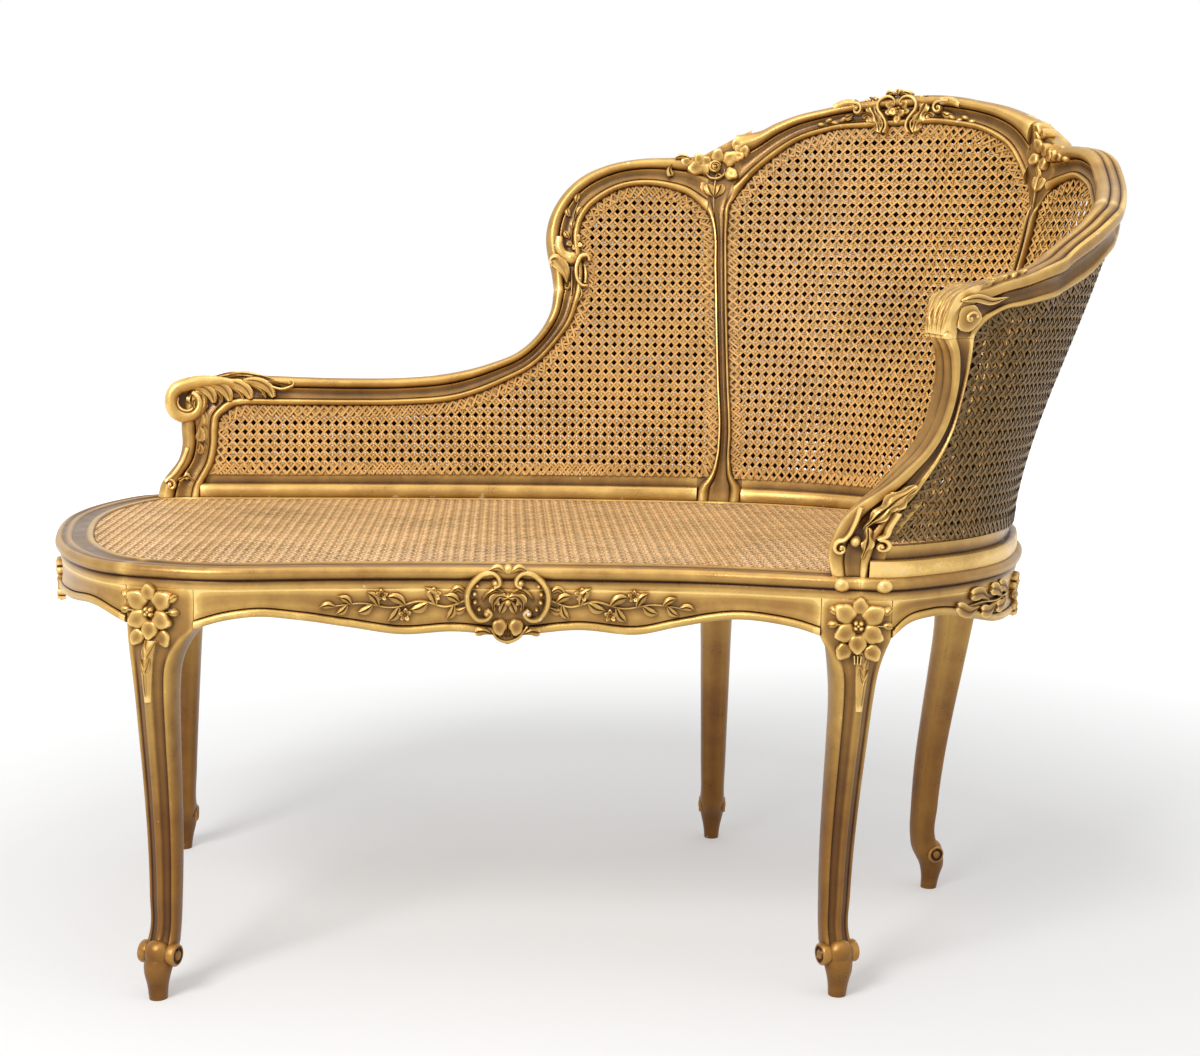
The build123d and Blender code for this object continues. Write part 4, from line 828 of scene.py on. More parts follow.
class Wiring:
    """Short calls for building a shader's nodes."""

    def __init__(self, owner, shader="Principled BSDF"):
        owner.use_nodes = True
        self.owner = owner
        self.nodes = owner.node_tree.nodes
        self.links = owner.node_tree.links
        self.shader = self.nodes[shader]
        self.place = self.add("ShaderNodeTexCoord", "Object")

    def add(self, kind, output, inputs=(), **settings):
        """Output of a new node, with its settings and inputs given by name."""
        node = self.nodes.new(kind)
        for name, value in settings.items():
            setattr(node, name, value)
        for name, value in dict(inputs).items():
            self.feed(node.inputs[name], value)
        return node.outputs[output]

    def feed(self, socket, value):
        """Give a socket a link or a plain value."""
        if isinstance(value, bpy.types.NodeSocket):
            self.links.new(value, socket)
        else:
            socket.default_value = value

    def finish(self, inputs):
        """Give the shader its inputs and return what it belongs to."""
        for name, value in inputs.items():
            self.feed(self.shader.inputs[name], value)
        return self.owner

    def noise(self, scale, detail, roughness, stretch=(1, 1, 1)):
        """Noise over the object's own place."""
        place = self.add("ShaderNodeMapping", "Vector", {"Vector": self.place, "Scale": stretch})
        return self.add("ShaderNodeTexNoise", "Fac", {
            "Vector": place, "Scale": scale, "Detail": detail, "Roughness": roughness})

    def sum(self, first, second, factor):
        """First value plus second times factor."""
        return self.add("ShaderNodeMath", 0, {0: second, 1: factor, 2: first},
                        operation="MULTIPLY_ADD")

    def span(self, value, low, high, to_low=0.0, to_high=1.0):
        """Value stretched so that low comes to to_low and high to to_high."""
        return self.add("ShaderNodeMapRange", "Result", {
            "Value": value, "From Min": low, "From Max": high, "To Min": to_low,
            "To Max": to_high})

    def ramp(self, value, stops):
        """Colour ramp with stops of position and colour or grey."""
        node = self.nodes.new("ShaderNodeValToRGB")
        while len(node.color_ramp.elements) < len(stops):
            node.color_ramp.elements.new(0.5)
        for element, (position, colour) in zip(node.color_ramp.elements, stops):
            element.position = position
            if isinstance(colour, (int, float)):
                colour = (colour, colour, colour)
            element.color = (*colour, 1.0)
        self.feed(node.inputs["Fac"], value)
        return node.outputs["Color"]

    def mix(self, factor, first, second, blend="MIX"):
        """Mix of two colours."""
        first, second = (value if isinstance(value, bpy.types.NodeSocket) else (*value, 1.0)
                         for value in (first, second))
        return self.add("ShaderNodeMix", 2, {0: factor, 6: first, 7: second},
                        data_type="RGBA", blend_type=blend)

    def attribute(self, name, output="Fac"):
        """Value stored on the points of a piece."""
        return self.add("ShaderNodeAttribute", output, attribute_name=name)

    def bump(self, height, strength, distance):
        """Normal with small unevenness."""
        return self.add("ShaderNodeBump", "Normal", {
            "Strength": strength, "Distance": distance, "Height": height})

    def occlusion_shade(self, distance):
        """Painted shade of narrow places, from the light that reaches them."""
        return self.add("ShaderNodeAmbientOcclusion", "AO", {"Distance": distance}, samples=6)

    def background_rays(self):
        """One for rays that look at, mirror or pass through to the background, else zero."""
        rays = self.nodes.new("ShaderNodeLightPath").outputs
        total = rays["Is Camera Ray"]
        for label in ("Is Glossy Ray", "Is Transmission Ray"):
            total = self.add("ShaderNodeMath", 0, {0: total, 1: rays[label]},
                             operation="MAXIMUM")
        return total


# Chalk ground that shows where the gold is rubbed through
WHITE_GROUND = (0.74, 0.62, 0.44)


def scaled(colour, factor, lift=0.0):
    """Colour made darker or lighter, no channel over one."""
    return tuple(min(1.0, channel * factor + lift) for channel in colour)


def gilt_material(name, lift=0.0, painted_shade_low=False):
    """Old water gilding: bright on the ridges, toned on the flats, brown in the recesses, deepened
    there by painted shade from occlusion; lift adds painted light or shade over the whole scale,
    and a flag adds painted shade towards the floor.
    """
    look = Wiring(bpy.data.materials.new(name))
    tone = colours()
    shade = tuple(tone.shade)
    gold = tuple(tone.gold)
    wear = look.attribute("wear")
    rubbed = look.noise(34.0, 5.0, 0.62)
    cloudy = look.noise(9.0, 3.0, 0.5)
    fine = look.noise(420.0, 3.0, 0.6)
    height = wear
    # The occlusion term is painted shade: it pushes narrow recesses towards the brown recess colour
    for value, factor in ((rubbed, 0.34), (cloudy, 0.30), (look.occlusion_shade(0.009), 0.55)):
        height = look.sum(height, value, factor)
    # lift moves the whole scale: painted light when positive, painted shade when negative
    height = look.span(height, 0.95 - lift, 1.84 - lift)
    between = tuple(dark * 0.45 + light * 0.55 for dark, light in zip(shade, gold))
    colour = look.ramp(height, [(0.0, tuple(tone.recess)), (0.24, scaled(shade, 0.55)),
                                (0.47, shade), (0.70, between), (1.0, gold)])
    # Paler gold on the highest, most rubbed points: partly rubbed gilding, partly a painted
    # highlight
    worn = look.ramp(look.sum(height, fine, 0.22), [(0.88, 0.0), (1.06, 0.9)])
    colour = look.mix(worn, colour, scaled(gold, 1.10, 0.07))
    # Painted shade: the gold is multiplied darker towards the floor, from 0.41 m down to 0.20 m
    if painted_shade_low:
        level = look.nodes.new("ShaderNodeSeparateXYZ")
        look.feed(level.inputs[0], look.place)
        low = look.ramp(look.span(look.sum(level.outputs["Z"], rubbed, 0.05), 0.20, 0.41),
                        [(0.0, 1.0), (1.0, 0.0)])
        colour = look.mix(low, colour, tuple(tone.leg_painted_shade), "MULTIPLY")
    edge = look.sum(wear, look.noise(95.0, 2.0, 0.5), 3.0)
    bare = look.ramp(look.span(edge, 2.94, 3.05), [(0.0, 0.0), (1.0, 0.75)])
    return look.finish({
        "Base Color": look.mix(bare, colour, WHITE_GROUND), "Metallic": 0.52,
        "Roughness": look.ramp(rubbed, [(0.3, 0.24), (0.7, 0.44)]),
        "Normal": look.bump(look.sum(fine, rubbed, 1.5), 0.35, 0.0006)})


def cane_material(name, colour, backside_shade=0.14, occlusion_shade_share=0.94):
    """Split cane, glossy outside, with painted shade on the side that faces the other sheet and in
    narrow places.
    """
    look = Wiring(bpy.data.materials.new(name))
    colour = tuple(colour)
    fibre = look.noise(260.0, 3.0, 0.6, (1.0, 1.0, 0.35))
    value = look.sum(look.sum(look.attribute("tone"), look.noise(7.0, 3.0, 0.6), 0.6),
                     fibre, 0.28)
    shade = look.ramp(value, [(0.22, scaled(colour, 0.42)), (0.50, colour),
                              (0.90, scaled(colour, 1.50, 0.02))])
    # Painted shade: narrow places between strands and sheets are mixed towards a dark copy of the
    # cane colour
    depth = look.ramp(look.occlusion_shade(0.007), [(0.20, occlusion_shade_share), (0.85, 0.0)])
    shade = look.mix(depth, shade, scaled(colour, 0.22))
    # Painted shade: the side of each strand that faces away from its own outside, towards the other
    # sheet or under the seat, is darkened by the given share
    normal = look.nodes.new("ShaderNodeNewGeometry").outputs["Normal"]
    outer = look.add("ShaderNodeVectorMath", "Value",
                     {0: look.attribute("facing", "Vector"), 1: normal},
                     operation="DOT_PRODUCT")
    seen = look.span(outer, -0.4, 0.5)
    shown = look.ramp(seen, [(0.0, backside_shade), (1.0, 1.0)])
    return look.finish({
        "Base Color": look.mix(1.0, shade, shown, "MULTIPLY"),
        "Specular IOR Level": look.ramp(seen, [(0.0, 0.0), (1.0, 0.30)]),
        "Roughness": 0.42, "Normal": look.bump(fibre, 0.25, 0.0003)})


def bare_wood_material(name):
    """Plain beech of the pegs, dowels and corner blocks inside the frame."""
    look = Wiring(bpy.data.materials.new(name))
    grain = look.noise(60.0, 5.0, 0.6, (1.0, 1.0, 6.0))
    colour = look.ramp(grain, [(0.3, (0.22, 0.12, 0.055)), (0.7, (0.36, 0.21, 0.10))])
    return look.finish({"Base Color": colour, "Roughness": 0.7,
                        "Normal": look.bump(grain, 0.2, 0.0005)})


def material(name):
    """A finish of the bench, made once."""
    tone = colours()
    makers = {
        # Copies of one gilding made lighter or darker by lift: positive lift is painted light,
        # negative lift painted shade; Bright gilding is the plain copy
        "Antique gilding": (gilt_material, 0.05),
        "Shaded gilding": (gilt_material, -0.09),
        "Bright gilding": (gilt_material, 0.0),
        "Toned gilding": (gilt_material, 0.0, True),
        "Gold-washed cane": (cane_material, tone.cane),
        "Aged cane": (cane_material, tone.outer_cane_and_shade),
        "Natural cane": (cane_material, tone.seat_cane, 0.7, 0.55),
        "Bare beech": (bare_wood_material,),
    }
    make, *values = makers[name]
    return bpy.data.materials.get(name) or make(name, *values)


def gild(node, shape, finish="Shaded gilding", smooth_angle=38.0):
    """Gilded piece of the frame that stands for its node."""
    made(shape.build(node + "_gilt", material(finish), smooth_angle), "gilt_wood", node)


# Top of the seat frame's section in millimetres: inwards from the nosing with the drop under
# the top, then outwards from the inner edge
RING_OUTER = ((2.2, 1.6), (3.6, 1.4), (6.0, 0.2), (8.0, 0), (10.5, 0.6), (11.5, 1.8), (16.0, 2.4))
RING_INNER = ((9.0, 2.2), (7.5, 1.6), (6.6, 0.6), (4.2, 0), (1.4, 0.5), (0, 2.2),
              (0, REBATE_DROP * 1000))


class BENCH_OT_seat_frame(bpy.types.Operator):
    """Lengths of the seat frame with their rounded nosing and the rebate for the cane"""

    bl_idname = "bench.seat_frame"
    bl_label = "Seat frame"

    def execute(self, context):
        half = RING_BEAD / 2
        low = SEAT_HEIGHT - RING_BEAD
        angle = np.linspace(0, math.pi, 12)
        outer, inner = (np.array(rows) / 1000 for rows in (RING_OUTER, RING_INNER))
        profile = np.concatenate((
            [(RING_WIDTH + REBATE_WIDTH, RING_BOTTOM), (RING_OVERHANG, RING_BOTTOM),
             (RING_OVERHANG - 0.0008, RING_BOTTOM + 0.0015),
             (RING_OVERHANG - 0.0010, low - 0.0030), (RING_OVERHANG + 0.0004, low - 0.0008)],
            np.column_stack((RING_OVERHANG * (1 - np.sin(angle)),
                             low + half * (1 - np.cos(angle)))),
            (RING_OVERHANG, SEAT_HEIGHT) + outer * (1, -1),
            (RING_WIDTH, SEAT_HEIGHT) - inner,
            [(RING_WIDTH + REBATE_WIDTH, SEAT_HEIGHT - REBATE_DROP)]))
        for node, (first, last) in RING_STATIONS.items():
            stations = np.linspace(first + 0.002, last - 0.002,
                                   int(math.ceil((last - first) * 11)) + 1)
            gild(node, Shape().skin(rim(stations[:, None], *profile.T[:, None])))
        return {"FINISHED"}


class BENCH_OT_aprons(bpy.types.Operator):
    """Shaped rails under the seat frame, with a bead along their lower edge"""

    bl_idname = "bench.aprons"
    bl_label = "Aprons"

    def execute(self, context):
        face = RING_OVERHANG
        rear = RING_OVERHANG + APRON_THICKNESS
        for node, rows in APRON_SHARES.items():
            fine = curve_through(rows, 0.07)
            low = (RING_BOTTOM - APRON_DEPTH * fine[:, 1])[:, None]
            top = np.full_like(low, RING_BOTTOM)
            stops = [(rear, top), (face, top)]
            stops += [(face + 0.0008 * math.sin(math.pi * part),
                       top + (low + APRON_BEAD + 0.0015 - top) * part)
                      for part in (0.08, 0.3, 0.55, 0.8)]
            stops += [(face - 0.0002, low + APRON_BEAD + 0.0012), (face + 0.0010, low + APRON_BEAD)]
            stops += [(face + 0.0006 - 0.0036 * math.sin(angle),
                       low + APRON_BEAD / 2 + APRON_BEAD / 2 * math.cos(angle))
                      for angle in np.linspace(0.15, math.pi - 0.1, 9)]
            stops += [(face + 0.0030, low), (rear - 0.002, low), (rear, low + 0.002)]
            inset = np.tile([stop[0] for stop in stops], (len(fine), 1))
            height = np.concatenate([stop[1] for stop in stops], axis=1)
            gild(node, Shape().skin(rim(fine[:, :1], inset, height)), "Antique gilding")
        return {"FINISHED"}


def leg_lines(shares):
    """Knee and toe centres of a leg, the way it faces and its side."""
    knee = shares[2:4] * SEAT_SPAN + PLAN_SHIFT
    toe = shares[4:6] * SEAT_SPAN + PLAN_SHIFT
    facing = math.radians(shares[6])
    out = np.array((math.cos(facing), math.sin(facing)))
    return knee, toe, out, np.array((-out[1], out[0]))


def leg_profile(spacing=0.0125):
    """Height share, set-in, half width and half depth of a leg from the floor upwards."""
    fine = curve_through(LEG_PROFILE_SHARES[::-1], spacing)
    fine[:, :2] = np.clip(fine[:, :2], 0, None)
    fine[-1, 0] = RING_BOTTOM / BLOCK_BOTTOM
    return fine


def leg_centre(shares, share, set_in):
    """Centre of a leg at a share of its height, with its set-in there."""
    knee, toe, out, _ = leg_lines(shares)
    part = np.minimum(share, 1.0)[..., None]
    return knee * part + toe * (1 - part) - out * (ANKLE_SET_IN * set_in)[..., None]


def block_share(level):
    """How far a leg has gone over from its shaft to its square block, at a level."""
    return np.clip((level - KNEE_EASE[0]) / (KNEE_EASE[1] - KNEE_EASE[0]), 0, 1)**2.6


def leg_sections(shares):
    """Sections of a cabriole leg from the toe up to the seat frame."""
    first, last = shares[:2]
    _, _, out, side = leg_lines(shares)
    half = np.array(LEG_SECTION_SHARES)
    section = np.concatenate((half, half[-2:0:-1] * (-1, 1, -1, 1)))
    turn = np.linspace(0, 2 * math.pi, len(section), endpoint=False)
    plain = np.column_stack((np.sin(turn), np.cos(turn)))
    block = rim((first + last) / 2 + section[:, 2] * (last - first) / 2,
                RING_OVERHANG + section[:, 3] * (LEG_BLOCK_DEPTH - RING_OVERHANG), 0)[:, :2]
    rows = []
    for height, set_in, wide, deep in leg_profile():
        level = height * BLOCK_BOTTOM
        worn = min(max((PLAIN_TOE - level) / PLAIN_TOE_EASE, 0.0), 1.0)
        across = section[:, :2] * (1 - worn) + plain * worn
        shaft = (leg_centre(shares, height, set_in)
                 + np.outer(across[:, 0] * wide * KNEE_HALF_WIDTH, side)
                 + np.outer(across[:, 1] * deep * KNEE_HALF_DEPTH, out))
        ease = block_share(level)
        rows.append(np.column_stack((shaft * (1 - ease) + block * ease,
                                     np.full(len(block), level))))
    return np.array(rows)


def add_toe_scroll(shape, shares, radius, half_length):
    """Roll across a foot with a ringed disc at both ends and a ball on its front."""
    _, _, out, side = leg_lines(shares)
    profile = leg_profile(0.01)
    share = np.float64(TOE_SCROLL_LEVEL / BLOCK_BOTTOM)
    set_in, deep = (np.interp(share, profile[:, 0], profile[:, k]) for k in (1, 3))
    centre = leg_centre(shares, share, set_in) + out * (deep * KNEE_HALF_DEPTH * 0.15)
    centre = np.append(centre, TOE_SCROLL_LEVEL)
    out, side = np.append(out, 0.0), np.append(side, 0.0)
    turns = np.linspace(0, 2 * math.pi, 26, endpoint=False)[:, None]
    round_about = np.cos(turns) * out + np.sin(turns) * (0, 0, 1)
    ends = ((0.46, 0.80), (0.54, 0.97), (0.62, 1.0), (0.92, 1.0), (1.0, 0.93), (1.03, 0.84),
            (1.02, 0.74), (0.95, 0.68), (0.93, 0.52), (0.98, 0.46), (1.05, 0.38), (1.07, 0.16))
    for hand in (-1, 1):
        rings = [centre + side * hand * half_length * reach + round_about * radius * size
                 for reach, size in ((0.0, 0.80),) + ends]
        shape.skin(rings)
    ball = centre + out * (radius * 0.42) + np.array((0, 0, radius * 0.12))
    rings = []
    for angle in np.linspace(-math.pi / 2 + 0.12, math.pi / 2 - 0.12, 11):
        ring = (np.cos(turns) * side + np.sin(turns) * (0, 0, 1)) * 1.22 * math.cos(angle)
        rings.append(ball + (ring + out * math.sin(angle) * 1.02) * radius)
    shape.skin(rings)


class BENCH_OT_legs(bpy.types.Operator):
    """Five cabriole legs with a carved rib, flutes and scrolled toes"""

    bl_idname = "bench.legs"
    bl_label = "Legs"

    def execute(self, context):
        for node, shares in LEG_SHARES.items():
            shape = Shape().skin(leg_sections(shares))
            toe = FRONT_TOE_SCROLL if "front" in node else REAR_TOE_SCROLL
            add_toe_scroll(shape, shares, *toe)
            gild(node, shape, "Toned gilding", 50.0)
        return {"FINISHED"}


class BENCH_OT_back_frame(bpy.types.Operator):
    """Moulded posts, stiles, crest and arm rails round the caned panels"""

    bl_idname = "bench.back_frame"
    bl_label = "Back frame"

    def execute(self, context):
        for node, rows in MEMBERS.items():
            arm = node in ("crest_rail_right", "arm_rail", "arm_post")
            front = ARM_FRONT_SHARES if arm else MOULDING_SHARES
            rear = ARM_REAR_SHARES if arm else REAR_SHARES
            shape = Shape().skin(member_sections(rows, front, rear, (1,), "post" in node))
            if node == "back_post_left":
                add_volute(shape, *VOLUTE_PLACE)
            gild(node, shape)
        for node, rows in STILES.items():
            gild(node, Shape().skin(member_sections(
                rows, STILE_SHARES, STILE_REAR_SHARES, (-1, 1), True, plain_from=STILE_PLAIN_FROM)))
        for node, (first, last) in BOTTOM_RAILS.items():
            stations = np.linspace(first, last, int(abs(last - first) * 14) + 2)
            rows = [(station, 0, station, BACK_RAIL_SHARE) for station in stations]
            gild(node, Shape().skin(member_sections(
                rows, PLAIN_SHARES, PLAIN_REAR_SHARES, (1,), True, 0.008)))
        return {"FINISHED"}


def add_volute(shape, station, share):
    """Rolled end of the low arm."""
    centre = back_surface(station, share)
    side, up, normal = back_axes(station, share)
    half = BACK_THICKNESS * 0.47
    turns = np.linspace(0, 2 * math.pi, 40, endpoint=False)
    ring = (np.outer(np.cos(turns), side) + np.outer(np.sin(turns), up)) * VOLUTE_RADIUS
    shape.skin([centre + normal * half * depth + ring * size for depth, size in (
        (-1, 0.55), (-1, 0.92), (-0.86, 0.99), (0.8, 1.0), (0.95, 0.96), (1.04, 0.86),
        (0.98, 0.74), (0.62, 0.62), (0.5, 0.3))])


def strand_group():
    """Node group that makes every line of its mesh a flat strand of cane."""
    name = "Cane strands"
    tree = bpy.data.node_groups.get(name)
    if tree:
        return tree
    tree = bpy.data.node_groups.new(name, "GeometryNodeTree")
    for label, in_out, kind in (
            ("Lines", "INPUT", "Geometry"), ("Width", "INPUT", "Float"),
            ("Thickness", "INPUT", "Float"), ("Finish", "INPUT", "Material"),
            ("Strands", "OUTPUT", "Geometry")):
        socket = tree.interface.new_socket(label, in_out=in_out, socket_type="NodeSocket" + kind)
        if kind == "Float":
            socket.subtype = "DISTANCE"
    given, result, curve, facing, upright, profile, swept, real, finish = (
        tree.nodes.new(kind) for kind in (
            "NodeGroupInput", "NodeGroupOutput", "GeometryNodeMeshToCurve",
            "GeometryNodeInputNamedAttribute", "GeometryNodeSetCurveNormal",
            "GeometryNodeCurvePrimitiveQuadrilateral", "GeometryNodeCurveToMesh",
            "GeometryNodeRealizeInstances", "GeometryNodeSetMaterial"))
    facing.data_type = "FLOAT_VECTOR"
    facing.inputs["Name"].default_value = "facing"
    upright.mode = "FREE"
    swept.inputs["Fill Caps"].default_value = True
    for source, leaves, target, enters in (
            (given, "Lines", curve, "Mesh"), (curve, "Curve", upright, "Curve"),
            (facing, "Attribute", upright, "Normal"), (upright, "Curve", swept, "Curve"),
            (given, "Width", profile, "Height"), (given, "Thickness", profile, "Width"),
            (profile, "Curve", swept, "Profile Curve"), (swept, "Mesh", real, "Geometry"),
            (real, "Geometry", finish, "Geometry"), (given, "Finish", finish, "Material"),
            (finish, "Geometry", result, "Strands")):
        tree.links.new(source.outputs[leaves], target.inputs[enters])
    return tree


def weave(name, lines, width, thickness, finish):
    """Strands along lines, each an array of points, the way they face, and a tone."""
    counts = [len(line[0]) for line in lines]
    points, facing = (np.concatenate([line[k] for line in lines]) for k in (0, 1))
    tone = np.repeat([line[2] for line in lines], counts)
    starts = np.cumsum([0] + counts)
    edges = [(start + step, start + step + 1)
             for start, count in zip(starts.tolist(), counts) for step in range(count - 1)]
    mesh = bpy.data.meshes.new(name + "_lines")
    mesh.from_pydata(points.tolist(), edges, [])
    for label, kind, key, values in (("facing", "FLOAT_VECTOR", "vector", facing),
                                     ("tone", "FLOAT", "value", tone)):
        layer = mesh.attributes.new(label, kind, "POINT")
        layer.data.foreach_set(key, values.astype(np.float32).ravel())
    carrier = bpy.data.objects.new(name + "_lines", mesh)
    bpy.context.scene.collection.objects.link(carrier)
    tree = strand_group()
    modifier = carrier.modifiers.new("Strands", "NODES")
    modifier.node_group = tree
    given = {"Width": width, "Thickness": thickness, "Finish": finish}
    for item in tree.interface.items_tree:
        if item.in_out == "INPUT" and item.name in given:
            modifier[item.identifier] = given[item.name]
    graph = bpy.context.evaluated_depsgraph_get()
    woven = bpy.data.meshes.new_from_object(carrier.evaluated_get(graph))
    woven.name = name
    bpy.data.objects.remove(carrier)
    woven.shade_flat()
    piece = bpy.data.objects.new(name, woven)
    bpy.context.scene.collection.objects.link(piece)
    return piece


# How far strands pass over and under each other, and the shortest strand in pitches
PAIR_SWING = 0.00034
DIAGONAL_SWING = 0.00056
SHORTEST_STRAND = 0.2
# Half the distance between the two strands of a pair, in pitches, in the seat and the back,
# and the back's pitch across and up
SEAT_PAIR = 0.155
BACK_PAIR = 0.128
BACK_PITCH = (0.96, 1.04)
SEAT_WEAVE_LEVEL = SEAT_HEIGHT - REBATE_DROP + 0.0013
BACK_WEAVE_PROUD = TONGUE_HALF + 0.0016


def inside_runs(corner, origin, direction):
    """Stretches of a straight line that lie inside a closed outline, as pairs of steps."""
    start = corner
    end = np.roll(corner, -1, axis=0)
    across = np.array((-direction[1], direction[0]))
    side_a = (start - origin) @ across
    side_b = (end - origin) @ across
    crossing = (side_a > 0) != (side_b > 0)
    if not crossing.any():
        return []
    part = side_a[crossing] / (side_a[crossing] - side_b[crossing])
    point = start[crossing] + (end[crossing] - start[crossing]) * part[:, None]
    steps = np.sort((point - origin) @ direction / (direction @ direction))
    return list(zip(steps[::2], steps[1::2]))


def lattice_lines(outline, pitch, gap, raised=0.0, phase=(0.0, 0.0)):
    """Six-way cane inside a flat outline: pairs both ways and two sets of diagonals.

    Gives kind, flat points and height above or below the middle of the weave."""
    pitch = np.array(pitch)
    shift = np.array(phase) * pitch
    outline = outline - shift
    low = np.floor(outline.min(axis=0) / pitch).astype(int) - 1
    high = np.ceil(outline.max(axis=0) / pitch).astype(int) + 1

    def walk(kind, origin, direction, lift):
        for begin, end in inside_runs(outline, origin, direction):
            if end - begin < SHORTEST_STRAND:
                continue
            knots = np.arange(math.ceil(begin * 2 + 0.01), math.floor(end * 2 - 0.01) + 1) / 2
            steps = np.concatenate(([begin], knots, [end]))
            yield kind, origin + np.outer(steps, direction) + shift, lift(steps)

    for axis, kind, sign in ((0, "upright", PAIR_SWING), (1, "level", -PAIR_SWING)):
        for line in range(low[axis], high[axis] + 1):
            for hand in (-1, 1):
                origin = np.zeros(2)
                origin[axis] = (line + 0.5) * pitch[axis] + hand * gap
                yield from walk(kind, origin, pitch * (axis, 1 - axis),
                                lambda s: sign * np.cos(math.pi * (s - 0.5 + line))
                                * (np.abs((s % 1) - 0.5) < 0.1))
    for index in range(low[0] - high[1] - 1, high[0] + high[1] + 2):
        for kind, rise in (("falling", -1), ("rising", 1)):
            yield from walk(kind, pitch * (index + 0.5, 0.0), pitch * (1, rise),
                            lambda s: raised - rise * DIAGONAL_SWING * np.cos(2 * math.pi * s))


def border_lines(outline, pitch, reach):
    """Row of crosses that lace the weave into its groove all round."""
    closed = np.concatenate((outline, outline[:1]))
    keep = np.concatenate(([True], np.linalg.norm(np.diff(closed, axis=0), axis=1) > 1e-6))
    closed = closed[keep]
    length = walked(closed)
    spots = np.linspace(0, length[-1], int(length[-1] / pitch), endpoint=False)
    before, edge, after = (
        np.column_stack([np.interp((spots + step) % length[-1], length, closed[:, k])
                         for k in (0, 1)]) for step in (-pitch, 0, pitch))
    along = unit(after - before)
    turn = np.sign(np.sum(edge[:, 0] * np.roll(edge[:, 1], -1)
                          - np.roll(edge[:, 0], -1) * edge[:, 1]))
    inside = edge + np.column_stack((-along[:, 1], along[:, 0])) * turn * reach
    for hand, lift in ((-1, 0.0013), (1, 0.0019)):
        for start, end in zip(edge, np.roll(inside, hand, axis=0)):
            yield "border", np.array((start, (start + end) / 2, end)), np.full(3, lift)


class BENCH_OT_seat_cane(bpy.types.Operator):
    """Six-way woven cane of the seat"""

    bl_idname = "bench.seat_cane"
    bl_label = "Seat cane"

    def execute(self, context):
        size = sizes()
        pitch = size.cane_pitch
        stations = np.linspace(0, len(OUTLINE), 160, endpoint=False)
        outline = rim(stations, RING_WIDTH + WEAVE_GAP, 0)[:, :2]
        random = np.random.default_rng(4)
        groups = {"upright": [], "level": [], "diagonal": []}
        for kind, flat, lift in lattice_lines(outline, (pitch, pitch), pitch * SEAT_PAIR, 0.0002):
            points = np.column_stack((flat, SEAT_WEAVE_LEVEL + lift))
            facing = np.tile((0.0, 0.0, 1.0), (len(points), 1))
            group = groups.get(kind, groups["diagonal"])
            group.append((points, facing, random.uniform(0, 0.45)))
        for kind, lines in groups.items():
            piece = weave("seat_cane_" + kind, lines, size.strand_width,
                          size.strand_thickness, material("Natural cane"))
            made(piece, "cane", *(("seat_cane",) if kind == "upright" else ()))
        return {"FINISHED"}


# Outer sheet of a panel: how wide its strands are and its pitch across, as shares of the
# inner sheet's, and how far its holes lie from the inner ones, in pitches across and up
OUTER_WEAVE = {
    "left_panel": (1.45, 1.0, 0.5, -0.25), "centre_panel": (1.45, 1.043, 0.08, -0.25),
    "right_panel": (1.1, 1.0, 0.4, 0.3),
}


def panel_edge(rows, below=1.0, side=2):
    """Rows of a member over the bottom rail, as station and share on one of its sides."""
    return [row[side:side + 2] for row in rows if BACK_RAIL_SHARE < row[side + 1] < below]


# Round each panel: the edges of its members, in order
PANELS = {
    "left_panel": (
        panel_edge(POST_LEFT_SHARES), panel_edge(LOW_ARM_SHARES[1:]),
        panel_edge(SHOULDER_SHARES[1:-1]), panel_edge(STILE_LEFT_SHARES, 0.70, 0)[::-1]),
    "centre_panel": (
        panel_edge(STILE_LEFT_SHARES, 0.71), panel_edge(CREST_SHARES[1:-1]),
        panel_edge(STILE_RIGHT_SHARES, 0.74, 0)[::-1]),
    "right_panel": (
        panel_edge(STILE_RIGHT_SHARES, 0.715), panel_edge(CREST_RIGHT_SHARES[1:]),
        panel_edge(ARM_SHARES[1:-1]), panel_edge(ARM_POST_SHARES)),
}


def panel_outline(edges, grid):
    """Flat outline of a panel in lengths along the seat and heights above it."""
    corners = []
    for rows in edges:
        rows = np.array(rows)
        corners.append(curve_through(rows, 0.01, walked(middle_surface(*rows.T))))
    path = np.concatenate(corners)
    return np.column_stack((np.interp(path[:, 0], grid[0], grid[1]), path[:, 1] * BACK_HEIGHT))


